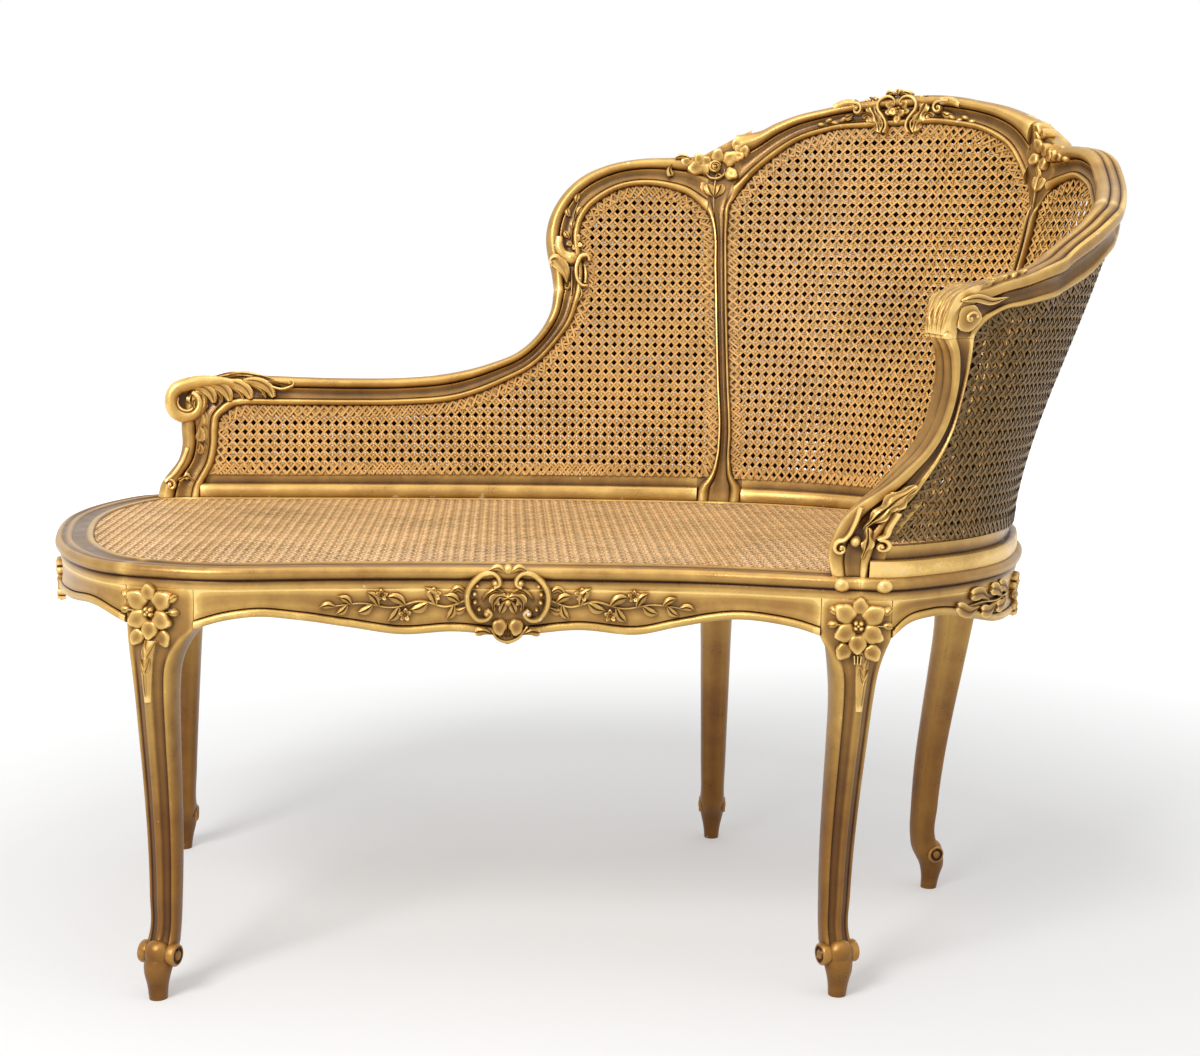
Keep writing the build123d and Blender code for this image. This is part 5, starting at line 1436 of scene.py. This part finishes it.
class BENCH_OT_back_cane(bpy.types.Operator):
    """Double woven cane in the three panels of the back"""

    bl_idname = "bench.back_cane"
    bl_label = "Back cane"

    def execute(self, context):
        size = sizes()
        pitch = size.cane_pitch
        stations = np.linspace(7.0, 26.5, 800)
        grid = (stations, walked(middle_surface(stations, 0.35)))
        random = np.random.default_rng(11)
        for name, edges in PANELS.items():
            outline = panel_outline(edges, grid)
            for side, layer, finish in ((1, "inner", "Gold-washed cane"),
                                        (-1, "outer", "Aged cane")):
                broad, spread, *phase = OUTER_WEAVE[name] if side < 0 else (1, 1, 0, 0)
                pitches = (pitch * BACK_PITCH[0] * spread, pitch * BACK_PITCH[1])
                lattice = [*lattice_lines(outline, pitches, pitch * BACK_PAIR, 0.0008, phase),
                           *border_lines(outline, pitch, TONGUE_REACH)]
                bands = {"pairs": [], "diagonals": []}
                for kind, flat, lift in lattice:
                    station = np.interp(flat[:, 0], grid[1], grid[0])
                    share = flat[:, 1] / BACK_HEIGHT
                    points = back_surface(station, share, side * (BACK_WEAVE_PROUD + lift))
                    facing = back_axes(station, share)[2] * side
                    # Tone per strand: random variation, with the pairs kept darker than the
                    # diagonals as painted shade under the diagonals that lie over them
                    band, tones_and_shade = (("pairs", (-0.02, 0.20)) if kind in ("upright", "level")
                                   else ("diagonals", (0.14, 0.50)))
                    bands[band].append((points, facing, random.uniform(*tones_and_shade)))
                node = f"{name}_cane_{layer}"
                for band, lines in bands.items():
                    width = size.strand_width if band == "pairs" else size.diagonal_width
                    piece = weave(f"{node}_{band}", lines, width * broad,
                                  size.strand_thickness, material(finish))
                    made(piece, "cane", *((node,) if band == "pairs" else ()))
        return {"FINISHED"}


# Middle lines of the two scrolls, in millimetres from the middle of their carving
APRON_SCROLL = [
    (13, 16), (8.5, 18.5), (9, 25), (14, 29.5), (22, 29), (31, 23), (37.5, 13), (38.5, 2),
    (35, -8.5), (28, -15.5), (20, -15), (16, -9.5), (20, -6),
]
CREST_SCROLL = [
    (4.5, 6.5), (3.0, 11), (6, 15.5), (12, 17.5), (19, 15.5), (24.5, 9.5), (24, 2), (18.5, -5),
    (14, -12), (13, -18), (16, -25),
]


# Leaves of the sprays: place along the stem, turn and length
SPRAY_LEAVES = (
    (0.06, 48, 17), (0.10, -46, 16), (0.24, 42, 20), (0.30, -40, 19), (0.46, 44, 20),
    (0.50, -42, 18), (0.66, 40, 18), (0.70, -40, 17), (0.86, 36, 15), (0.88, -34, 15),
    (0.97, 4, 15),
)


def apron_cartouche(carve):
    """Oval of two scrolls round drooping leaves, with a shell under it."""
    for carve.hand in (-1, 1):
        carve.ribbon(APRON_SCROLL, 5.6, 6.6, (0.8, 1.0, 1.1, 1.1, 1.0, 0.8), 3.0)
        carve.bud(12, 20, 3.8, 9.6, base=1.0)
        carve.bud(20, -10, 3.8, 9.0, base=1.0)
        carve.petal(8, -22.5, 7.4, 5.4, -90, 1.5)
        carve.leaf([(14, -30), (22, -27), (31, -28)], 9, 5.4, PETAL, base=1.5)
        for x, y, size in ((29.5, 17, 2.6), (32, 9, 2.8), (31.5, 1, 2.7), (27.5, -6, 2.4)):
            carve.bud(x, y, size, 7.0, base=1.0)
        carve.leaf([(1, 6), (8, 7), (14, 0), (13, -7)], 10, 5.0, lobes=2, cup=1.5, base=2.0)
        carve.leaf([(2, 3), (5, -4), (8, -11)], 7, 4.0, cup=1.0, base=1.5)
        carve.leaf([(4, 11), (12, 13), (20, 8), (25, 1)], 6, 4.4, base=1.5)
        carve.leaf([(3, 31), (10, 35), (18, 33)], 6, 3.0, base=6.0)
        carve.leaf([(40, 10), (48, 14), (56, 8)], 7, 4.0)
        carve.leaf([(39, -4), (47, -8), (55, -4)], 7, 4.0)
    carve.bud(0, 1, 4.2, 8.6)
    carve.bud(0, 7, 3.0, 8.0)
    carve.bud(0, 33, 4.2, 4.0, base=5.5)
    carve.petal(-1, -28, 10.0, 2.4, -90, 0.6)
    carve.leaf([(0, -16), (0, -26)], 7, 5.2, PETAL, base=1.5)
    carve.ribbon([(-15, -26), (-11, -33), (-2, -37), (8, -34.5), (19, -22)], 4.2, 5.6,
                 (0.7, 1.0, 0.7), 0.5)
    for x in (-6, -2, 2, 6):
        carve.leaf([(x * 0.4, -26), (x, -33)], 3.4, 5.6, base=1.0)


def apron_spray(carve, hand):
    """Leafy stem with small buds that runs sideways from the oval."""
    path = np.array([(0, 3), (18, -3), (42, 2), (70, -4), (98, 0), (128, -3)]) * (hand, 1)
    carve.stem(path, [(share, turn * hand, size) for share, turn, size in SPRAY_LEAVES])
    for x, y, size in ((30, 9, 3.4), (58, -11, 3.2), (80, 8, 3.0)):
        carve.flower(x * hand, y, size * 1.9, 5, 90, 4.6)


# Petals on a knee: across, up, radius and turn
KNEE_PETALS = (
    (-13, -25, 8.0, 235), (13, -25, 8.0, -55), (1, 18, 7.8, 90), (-12.5, 11, 9.8, 145),
    (13, 10, 9.8, 38), (-12, -7.5, 9.4, 205), (12.5, -8, 9.4, -25), (-0.5, -17, 9.0, -90),
)


def knee_flower(carve, hand):
    """Flower of round petals on the knee of a leg, with buds on both sides."""
    carve.hand = hand
    for index, (x, y, size, turn) in enumerate(KNEE_PETALS):
        carve.petal(x, y, size, 4.9 + 0.7 * (index % 2) + 0.16 * index, turn)
    for knob in range(4):
        spot = turned([(3.3, 0)], 0, 0, 45 + 90 * knob)[0]
        carve.bud(*spot, 2.7, 8.6)
    carve.bud(0, 0, 2.2, 9.0)
    for x, y, turn in ((26, 14, 40), (27, 0, -8), (-23, 13, 150), (-24, 0, 185)):
        carve.ribbon([(x * 0.5, y * 0.6), (x * 0.85, y * 0.95)], 2.0, 3.4)
        carve.bud(x, y, 4.0, 5.6, 1.35, turn)
        carve.leaf(turned([(-3, 0), (6, 0.5 * hand)], x, y, turn), 4.0, 6.4, tip=0.5, cup=0.8)
    for x in (-3.0, 0.2, 3.4):
        x *= hand
        carve.ribbon([(x, -29), (x * 0.8, -37)], 2.2, 4.8)


def end_cartouche(carve):
    """Small shell of scrolls and leaves on the end aprons."""
    for carve.hand in (-1, 1):
        carve.curl(14, 12, 6.5, 90, 420, 4.0, 6.0, lead=[(2, 20), (7, 21)])
        carve.curl(12, -12, 5.5, -90, -420, 3.6, 5.6, lead=[(1, -20), (6, -19)])
        carve.leaf([(2, 0), (10, 3), (21, 0)], 11, 5.0, lobes=2, cup=1.4)
        carve.leaf([(2, 4), (8, 10), (5, 20)], 7, 5.2)
    carve.bud(0, 0, 4.4, 6.4)
    carve.leaf([(0, -3), (0, -22)], 9, 5.2, PETAL, cup=1.2)


# Middle lines of the leaves of the end spray
END_LEAVES = (
    ((-12, 4), (-25, 12), (-41, 12)), ((-30, 0), (-46, -4), (-62, 3)), ((18, 3), (6, 12), (-4, 14)),
    ((4, 0), (-10, -7), (-23, -6)), ((34, 5), (25, 13), (15, 15)), ((30, 2), (20, -5), (10, -6)),
)


def end_spray(carve):
    """Broad leaves on a stem beside the shell on the right end apron."""
    carve.ribbon([(36, 4), (6, 1), (-26, 3), (-44, 1)], 3.0, 4.0, (1.0, 0.9, 0.6))
    for path in END_LEAVES:
        carve.leaf(path, 13.0, 5.6, PETAL, 0, 1.8, 0.6, 0, 0.3, 0.2)


def crest_cartouche(carve):
    """Lyre of two ribbons round a posy on the crest, with wings, scrolls and bud sprays."""
    for carve.hand in (-1, 1):
        carve.ribbon(CREST_SCROLL, 4.4, 9.0, (0.6, 1.0, 1.15, 1.1, 1.0, 0.9), 3.5)
        carve.ribbon([(26.5, -1), (21.5, -8), (18, -14), (18.5, -19), (22, -25)], 3.2, 7.0,
                     (0.6, 1.0, 0.9), 3.0)
        carve.bud(5.5, 8, 2.7, 10.0, base=3.0)
        carve.leaf([(22, -24), (25, -12), (31, 0), (38, 11), (44, 13)], 15, 7.5, ACANTHUS, 3,
                   2.2, 2.0, 0, 0.3, 0.2)
        carve.leaf([(24, -20), (31, -10), (40, -3), (46, -6)], 12, 6.0, ACANTHUS, 2, 2.0, 1.0)
        carve.leaf([(26, 6), (31, 14), (38, 18)], 8, 6.5, LEAF, 2, 1.4, 3.0)
        carve.ribbon([(84, 6), (68, 11), (56, 11)], 9.5, 6.0, (0.9, 1.0, 1.0), 4.6)
        carve.curl(53, 3, 7.6, 80, 430, 5.4, 8.0, 4.0, lead=[(68, 11), (58, 11)])
        carve.leaf([(58, -2), (66, -6), (72, -4)], 8, 6.4, cup=1.4, base=2.0)
        carve.ribbon([(60, -6), (76, -10), (92, -12)], 2.2, 4.0, (1.0, 0.8, 0.6), 1.0)
        for x, y, size, turn in ((71, -8, 3.6, 150), (82, -12, 3.3, 190), (90, -9, 3.2, 160),
                                 (100, -14, 3.2, 185)):
            carve.bud(x, y, size, 6.6, 1.7, turn, 1.0)
        carve.leaf([(3, 19), (9, 22), (16, 20)], 7, 5.0, PETAL, cup=1.2, base=5.5)
    for x, y, size, turn in ((-10, 7, 5.6, 150), (8, 8, 5.6, 40), (-5, 0, 5.6, 200),
                             (4, -2, 5.4, 10), (0, -9, 5.2, -90), (-11, -1, 4.4, 190),
                             (11, 0, 4.4, -10)):
        carve.petal(x, y, size, 6.6 + 0.4 * (size > 5), turn, 2.6)
    for x, y in ((-1, 3), (2, 4), (0, 0)):
        carve.bud(x, y, 2.2, 9.6, base=2.6)
    carve.leaf([(0, 18), (0, 26)], 8, 6.0, PETAL, base=5.5)


# Petals where an upright meets the crest: across, up, radius and turn
LEFT_BLOOMS = (
    (-36, 6, 5.6, 170), (-24, -1, 8.2, 200), (-20, 9, 6.6, 120), (-11, 7, 6.2, 150),
    (3, 14, 7.6, 90), (20, -8, 7.2, -20), (18, 11, 8.6, 40), (29, 14, 6.0, 10), (36, 20, 6.0, 60),
    (26, 28, 5.8, 110),
)
RIGHT_BLOOMS = (
    (-7, 11, 7.2, 130), (7, 7, 7.4, 40), (-10, -5, 6.6, 220), (6, -8, 6.6, -60), (19, 1, 6.6, 0),
    (28, 2, 5.8, 30), (38, 1, 4.8, 10), (-10, 20, 5.6, 100), (-10, 28, 6.6, 90), (0, 25, 5.2, 40),
)


def stile_blooms(carve, blooms, rose, drop):
    """Roses and petals at the head of an upright, over a stem with two leaves."""
    for index, (x, y, size, turn) in enumerate(blooms):
        carve.petal(x, y, size * 1.12, 6.2 + 1.0 * (index % 3), turn, 4.4)
    if rose:
        carve.rose(0, 0, 9.4, 9.6, 4.6)
        carve.ribbon([(-11, -8), (-6, -13), (3, -14), (11, -9), (12, -2)], 3.4, 8.0,
                     (0.5, 1.0, 1.1, 0.9, 0.5), 3.0)
        carve.leaf([(-54, 3), (-57, -3), (-55, -11)], 9, 7.0, PETAL, base=4.0)
        carve.leaf([(-50, 11), (-42, 13), (-30, 10)], 7, 6.5, LEAF, cup=1.2, base=5.0)
    else:
        carve.leaf([(0, -6), (-2, -14), (0, -24)], 10, 7.6, PETAL, cup=1.6, base=3.0)
        carve.bud(50, 0, 4.4, 8.0, 1.2, 10, 3.0)
        carve.leaf([(28, 8), (38, 9), (46, 3)], 8, 6.4, LEAF, 2, 1.6, 3.0)
    carve.ribbon([(9, -11), (4, drop + 30), (0, drop + 16), (0, drop - 18)], 2.8, 5.4,
                 (1.0, 1.0, 0.8, 0.4), 2.4)
    for hand in (-1, 1):
        carve.leaf([(0, drop), (hand * 5.5, drop + 8), (hand * 8.5, drop + 17)], 12, 6.4, PETAL,
                   cup=1.6, base=2.0, vein=0.2)


def shoulder_group(carve):
    """Ball, folded leaf and curls where the shoulder rail comes down to the low arm."""
    carve.ribbon([(-15, 26), (-15, 14), (-10, 5), (-2, 1)], 11.0, 8.0, (0.8, 1.0, 1.1, 1.1), 6.0)
    carve.bud(0, 0, 8.0, 9.5, 1.1, 0, 6.0)
    carve.leaf([(-5, -32), (-6, -22), (-12, -10), (-18, -4), (-25, -3)], 17, 8.0, PETAL, 0, 2.4,
               5.6, 0, 0.1, 0.1)
    carve.ribbon([(-24, -8), (-25, -3), (-20, 0), (-13, -4)], 4.6, 9.0, (0.7, 1.1, 1.0, 0.5), 6.0)
    carve.leaf([(-7, -30), (-5, -36), (-2, -30)], 8, 6.0, PETAL, base=4.0)
    carve.ribbon([(1.4, -14), (1.4, -30), (1.0, -46)], 2.4, 4.6, (0.6, 1.0, 0.6), 3.0)
    carve.ribbon([(23, -3), (20, 3), (14, 3), (8, -6), (6.5, -18), (9, -28), (15, -34), (21, -34)],
                 6.0, 8.0, (0.6, 1.2, 1.2, 1.0, 0.9, 0.8, 0.5), 4.0)
    carve.ribbon([(17, -8), (18.5, -20), (18, -31)], 4.6, 7.0, (0.5, 1.0, 0.7), 3.0)
    carve.ribbon([(11, -34), (14, -44), (9, -53), (0, -55)], 2.4, 5.0, (1.0, 1.0, 0.7, 0.4), 2.4)
    carve.ribbon([(4, 10), (5, 28), (2, 50), (8, 72)], 2.2, 4.6, (1.0, 0.8, 0.5), 2.0)
    for x, y, size, turn in ((7, 25, 4.6, 60), (-2, 18, 4.0, 190), (4, 14, 3.8, 250),
                             (10, 17, 3.6, -20)):
        carve.petal(x, y, size, 5.6, turn, 2.6)
    for x, y, turn in ((-5, 30, 120), (2, 43, 80), (-4, 58, 110), (10, 60, 60), (7, 76, 75)):
        carve.leaf(turned([(-6, 0), (0, 1), (7, 0)], x, y, turn), 7, 6.0, cup=1.6, base=2.0,
                   vein=0.15)


def volute_group(carve):
    """Thick roll at the end of the low arm with a fluted leaf that runs along the rail."""
    roll = np.concatenate(([(60, 25), (34, 26), (16, 25)], spiral(0, 0, 21.5, 92, 330, 0.66)))
    carve.ribbon(roll, 14.0, 9.0, (0.5, 0.9, 1.15, 1.2, 1.1, 0.95, 0.7, 0.45), 5.6)
    carve.ribbon(spiral(1, 0, 12.5, 150, 250, 0.60), 4.4, 8.0, (0.5, 1.1, 1.0, 0.5), 4.0)
    carve.leaf([(9, -7), (5, 0), (6, 8), (11, 13)], 9, 10.0, ACANTHUS, 2, 1.6, 3.0)
    carve.leaf([(12, -8), (18, -3), (25, -4)], 8, 8.0, ACANTHUS, 2, 1.4, 3.0)
    for width, *path in (
            (12, (8, 19), (20, 18), (30, 10), (33, 0)), (13, (22, 23), (38, 21), (49, 12), (52, 2)),
            (13, (44, 25), (62, 22), (73, 14), (77, 5)),
            (12, (68, 27), (86, 25), (99, 17), (104, 7))):
        path = np.array(path)
        carve.leaf(path, width, 8.5, (0.35, 0.35), 0, 2.6, 4.4, 0, 0.15, 0.14, 0.1)
        carve.leaf(path - (9, 1), width * 0.62, 7.0, (0.35, 0.5), 0, 1.4, 3.8, 0, 0.2, 0.14, 0.1)
    carve.leaf([(30, 26), (70, 31), (104, 25), (126, 20)], 15, 7.0, (0.3, 0.9), 0, 2.0, 4.0, 2,
               0.2, 0.2)
    carve.curl(124, 25, 5.0, -90, 400, 4.0, 8.0, 3.4, lead=[(100, 20), (114, 17)])
    for level, size in ((-18, 1.2), (-36, 1.15), (-54, 0.8)):
        top = level + 10 * size
        carve.leaf([(13, top), (16, level), (14, level - 8 * size)], 10 * size, 5.6, PETAL,
                   cup=1.6, base=1.4, vein=0.12)
        carve.leaf([(19, top), (22, level + 2), (19, level - 7 * size)], 7 * size, 4.8, PETAL,
                   cup=1.2, base=1.4, vein=0.12)


def post_foot_group(carve):
    """Curled lip at the foot of the left post."""
    carve.curl(0, 6, 8.5, 150, -420, 6.0, 8.0, 5.0, lead=[(21, 50), (14, 33), (3, 18)])
    carve.leaf([(10, 12), (20, 16), (27, 12)], 8, 6.0, ACANTHUS, 2, 1.4, 2.0)


def arm_edge_group(carve):
    """Fluted leaf over the free edge at the front of the arm; lengths run up the edge."""
    for level, reach in ((-10.5, 92), (-3.5, 112), (3.5, 118), (10.5, 98)):
        path = [(3, level * 0.86), (24, level * 1.08), (reach * 0.6, level), (reach, level * 0.5)]
        carve.leaf(path, 9.5, 5.0, (0.2, 0.6), 3, 1.8, 0.4, 0, 0.25, 0.22, 0.15)
    carve.leaf([(92, 0), (112, 3), (134, -2)], 12, 4.6, ACANTHUS, 3, 1.6, 0.4)
    for level in (-12, -4, 4, 12):
        carve.bud(2, level, 4.4, 4.4, 1.0)


def arm_scroll_group(carve):
    """Cut curl in a round boss outside the arm's front corner."""
    carve.petal(0, 0, 13.0, 1.8, 0, 0.0, 1.0)
    carve.curl(0.5, 0, 7.6, 10, 330, 3.8, 3.4, 0.4)
    carve.leaf([(-14, 16), (2, 19), (24, 16), (44, 20)], 8, 3.4, LEAF, 0, 1.0, 0.0)


def arm_foot_group(carve):
    """Leaf, curls and a ball at the foot of the arm post, seen from outside."""
    carve.leaf([(42, 46), (30, 34), (18, 18), (6, 4)], 14, 6.4, LEAF, 3, 2.0, 1.0, 1)
    carve.leaf([(26, 40), (26, 28), (18, 14)], 8, 5.0, LEAF, 2, 1.4, 1.0)
    carve.curl(-13, -15, 8.0, 80, 400, 5.8, 8.0, 0.6, lead=[(2, 24), (-2, 8), (-8, -4)])
    carve.bud(0, -8, 5.2, 10.0, base=1.0)
    carve.leaf([(10, 6), (11, -8), (7, -24)], 9, 7.0, LEAF, 2, 1.8, 1.0)
    carve.curl(22, -12, 7.0, 110, -400, 5.0, 7.6, 0.6, lead=[(31, 20), (26, 6), (24, -2)])


def nosing_ends(carve):
    """Bulbs where the nosing ends on both sides of the arm post."""
    for x, turn in ((-17, 180), (22, 0)):
        carve.bud(x, 38.5, 6.8, 8.8, 1.25, turn)


def leg_husk(carve):
    """Rib with two pairs of leaves below the knee."""
    carve.ribbon([(0, 8), (0, -20), (0, -52)], 13.0, 2.8, (1.0, 0.9, 0.55))
    for level, size in ((0, 1.0), (-16, 0.8)):
        for carve.hand in (-1, 1):
            path = [(6.0 * size, level + 8 * size), (4.4 * size, level), (0.8, level - 10 * size)]
            carve.leaf(path, 6.0 * size, 4.6, PETAL, cup=1.0, vein=0.12)
    carve.leaf([(0, -20), (0, -50)], 5.0, 4.2, tip=0.6)


def carved(name, place, draw, *extra, finish="Bright gilding", sink=5.0, stands=True):
    """Carving drawn on its place; it stands for the node of its name, or only adds to one."""
    carve = Carver(place, sink)
    draw(carve, *extra)
    piece = carve.build(name + "_carved" if stands else name, material(finish))
    made(piece, "gilt_wood", *([name] if stands else ()))


RIGHT_KNEE = (8.3553, 0.3840)
# Carvings of the aprons and knees: station, height, finish, what is drawn and which way
APRON_CARVINGS = {
    "apron_cartouche": (3.878, 0.3948, "Shaded gilding", apron_cartouche),
    "apron_spray_left": (3.43, 0.3945, "Shaded gilding", apron_spray, -1),
    "apron_spray_right": (4.32, 0.3950, "Shaded gilding", apron_spray, 1),
    "knee_flower_left": (-0.0966, 0.3853, "Bright gilding", knee_flower, -1),
    "knee_flower_right": (*RIGHT_KNEE, "Bright gilding", knee_flower, 1),
    "end_spray": (11.35, 0.3930, "Shaded gilding", end_spray),
    "end_cartouche_right": (12.75, 0.3860, "Shaded gilding", end_cartouche),
    "end_cartouche_left": (30.35, 0.3800, "Shaded gilding", end_cartouche),
}
# Carvings on the inner side of the back: station, height share, turn and what is drawn
BACK_CARVINGS = {
    "crest_cartouche": (18.19, 0.910, 0.0, crest_cartouche),
    "stile_flowers_left": (20.14, 0.779, 0.0, stile_blooms, LEFT_BLOOMS, True, -38),
    "stile_flowers_right": (15.80, 0.800, -6.0, stile_blooms, RIGHT_BLOOMS, False, -42),
    "shoulder_leaf": (21.413, 0.557, 0.0, shoulder_group),
    "volute_leaf": (25.036, 0.212, 0.0, volute_group),
}


class BENCH_OT_apron_carving(bpy.types.Operator):
    """Carved ovals, leafy sprays and knee flowers under the seat"""

    bl_idname = "bench.apron_carving"
    bl_label = "Apron carving"

    def execute(self, context):
        for node, (station, height, finish, draw, *extra) in APRON_CARVINGS.items():
            carved(node, on_apron(station, height), draw, *extra, finish=finish, sink=3.0)
        carved("nosing_ends_carved", on_apron(*RIGHT_KNEE), nosing_ends, sink=3.0, stands=False)
        for name in ("leg_front_left", "leg_front_right"):
            carved(name + "_husk", on_leg(LEG_SHARES[name], 0.350), leg_husk, sink=3.0,
                   stands=False)
        return {"FINISHED"}


class BENCH_OT_back_carving(bpy.types.Operator):
    """Carved crest, roses, leaves and scrolls of the back"""

    bl_idname = "bench.back_carving"
    bl_label = "Back carving"

    def execute(self, context):
        for node, (station, share, turn, draw, *extra) in BACK_CARVINGS.items():
            carved(node, on_back(station, share, turn), draw, *extra)
        carved("post_foot_curl", on_back(25.36, 0.012), post_foot_group, stands=False)
        carved("arm_scroll_leaf", on_edge(ARM_SHARES[::-1]), arm_edge_group, sink=4.0)
        carved("arm_scroll_curl", on_back(9.72, 0.472, 0.0, -1, 0.0145), arm_scroll_group,
               sink=6.0, stands=False)
        carved("arm_foot_leaf", on_back(8.22, 0.080, 0.0, -1, 0.0125), arm_foot_group, sink=8.0)
        return {"FINISHED"}


class BENCH_OT_joinery(bpy.types.Operator):
    """Plain pegs, dowels and corner blocks, and the carvings kept from the construction"""

    bl_idname = "bench.joinery"
    bl_label = "Joinery"

    def execute(self, context):
        for name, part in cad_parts.items():
            plain = name in ("tenon_pegs", "corner_blocks", "apron_dowels", "back_dowels")
            part.data.materials.clear()
            part.data.materials.append(material("Bare beech" if plain else "Bright gilding"))
        return {"FINISHED"}


FLOOR_REACH = 9.0
# Lamps: name, place, turn in degrees, power and size
LAMPS = (
    ("key", (-1.6, -2.4, 2.6), (48, 0, -33), 84.0, 1.2),
    ("top", (0.2, -0.3, 3.0), (0, 0, 0), 30.0, 2.4),
    ("fill", (2.6, -1.4, 1.4), (66, 0, 62), 5.0, 1.8),
)
# The camera, matched to the photograph: place over the plan's own axes, height, and turns
CAMERA_SPOT = np.array((-0.0156, -1.7744))
CAMERA_HEIGHT = 0.7302
CAMERA_TURN = (math.radians(-2.934), math.radians(81.68), 0.015)


class BENCH_OT_stage(bpy.types.Operator):
    """Pale floor, soft lights and the camera"""

    bl_idname = "bench.stage"
    bl_label = "Stage"

    def execute(self, context):
        scene = context.scene
        place = scene.collection.objects.link
        floor_mesh = bpy.data.meshes.new("floor")
        corners = [(x * FLOOR_REACH, y * FLOOR_REACH, 0)
                   for x, y in ((-1, -1), (1, -1), (1, 1), (-1, 1))]
        floor_mesh.from_pydata(corners, [], [(0, 1, 2, 3)])
        floor = bpy.data.objects.new("floor", floor_mesh)
        place(floor)
        pale = Wiring(bpy.data.materials.new("Pale floor"))
        away = pale.add("ShaderNodeVectorMath", "Value", {0: pale.place}, operation="LENGTH")
        glow = pale.add("ShaderNodeMath", 0, {
            0: pale.span(away, 0.7, 2.4, 0.30, 0.95), 1: pale.background_rays()},
            operation="MULTIPLY")
        floor_mesh.materials.append(pale.finish({
            "Base Color": (0.60, 0.60, 0.60, 1), "Roughness": 0.9,
            "Emission Color": (1, 1, 1, 1), "Emission Strength": glow}))
        studio = Wiring(bpy.data.worlds.new("Studio"), "Background")
        level = studio.add("ShaderNodeMath", 0, {0: studio.background_rays(), 1: 0.42},
                           operation="MAXIMUM")
        scene.world = studio.finish({"Color": (1, 1, 1, 1), "Strength": level})
        for name, spot, turn, power, size in LAMPS:
            light = bpy.data.lights.new(name, "AREA")
            light.energy = power
            light.size = size
            lamp = bpy.data.objects.new(name, light)
            lamp.location = spot
            lamp.rotation_euler = [math.radians(angle) for angle in turn]
            place(lamp)
        camera = bpy.data.cameras.new("camera")
        camera.lens = 57.0
        camera.sensor_width = 36.0
        viewer = bpy.data.objects.new("camera", camera)
        viewer.location = np.append(CAMERA_SPOT + PLAN_SHIFT, CAMERA_HEIGHT)
        yaw, pitch, roll = (Matrix.Rotation(angle, 3, axis)
                            for angle, axis in zip(CAMERA_TURN, "ZXZ"))
        viewer.rotation_euler = (yaw @ pitch @ roll).to_euler()
        place(viewer)
        scene.camera = viewer
        scene.view_settings.view_transform = "Standard"
        return {"FINISHED"}


OPERATORS = (
    BENCH_OT_seat_frame, BENCH_OT_aprons, BENCH_OT_legs, BENCH_OT_back_frame,
    BENCH_OT_apron_carving, BENCH_OT_back_carving, BENCH_OT_seat_cane, BENCH_OT_back_cane,
    BENCH_OT_joinery, BENCH_OT_stage,
)


class BENCH_PT_panel(bpy.types.Panel):
    """Sizes, colours and pieces of the bench"""

    bl_label = "Cane Bench"
    bl_idname = "BENCH_PT_panel"
    bl_space_type = "VIEW_3D"
    bl_region_type = "UI"
    bl_category = "Cane Bench"

    def draw(self, context):
        for group in (context.scene.bench_sizes, context.scene.bench_colours):
            for name in group.bl_rna.properties.keys():
                if name not in ("rna_type", "name"):
                    self.layout.prop(group, name)
        for operator in OPERATORS:
            self.layout.operator(operator.bl_idname)


CLASSES = (BenchSizes, BenchColours) + OPERATORS + (BENCH_PT_panel,)


def register():
    """Register the classes and hang the settings on the scene."""
    for entry in CLASSES:
        bpy.utils.register_class(entry)
    bpy.types.Scene.bench_sizes = bpy.props.PointerProperty(type=BenchSizes)
    bpy.types.Scene.bench_colours = bpy.props.PointerProperty(type=BenchColours)


def unregister():
    """Take the settings and classes away again."""
    del bpy.types.Scene.bench_sizes
    del bpy.types.Scene.bench_colours
    for entry in reversed(CLASSES):
        bpy.utils.unregister_class(entry)


def main():
    """Build every piece in order."""
    register()
    bpy.ops.bench.seat_frame()
    bpy.ops.bench.aprons()
    bpy.ops.bench.legs()
    bpy.ops.bench.back_frame()
    bpy.ops.bench.apron_carving()
    bpy.ops.bench.back_carving()
    bpy.ops.bench.seat_cane()
    bpy.ops.bench.back_cane()
    bpy.ops.bench.joinery()
    bpy.ops.bench.stage()


if __name__ == "__main__":
    main()
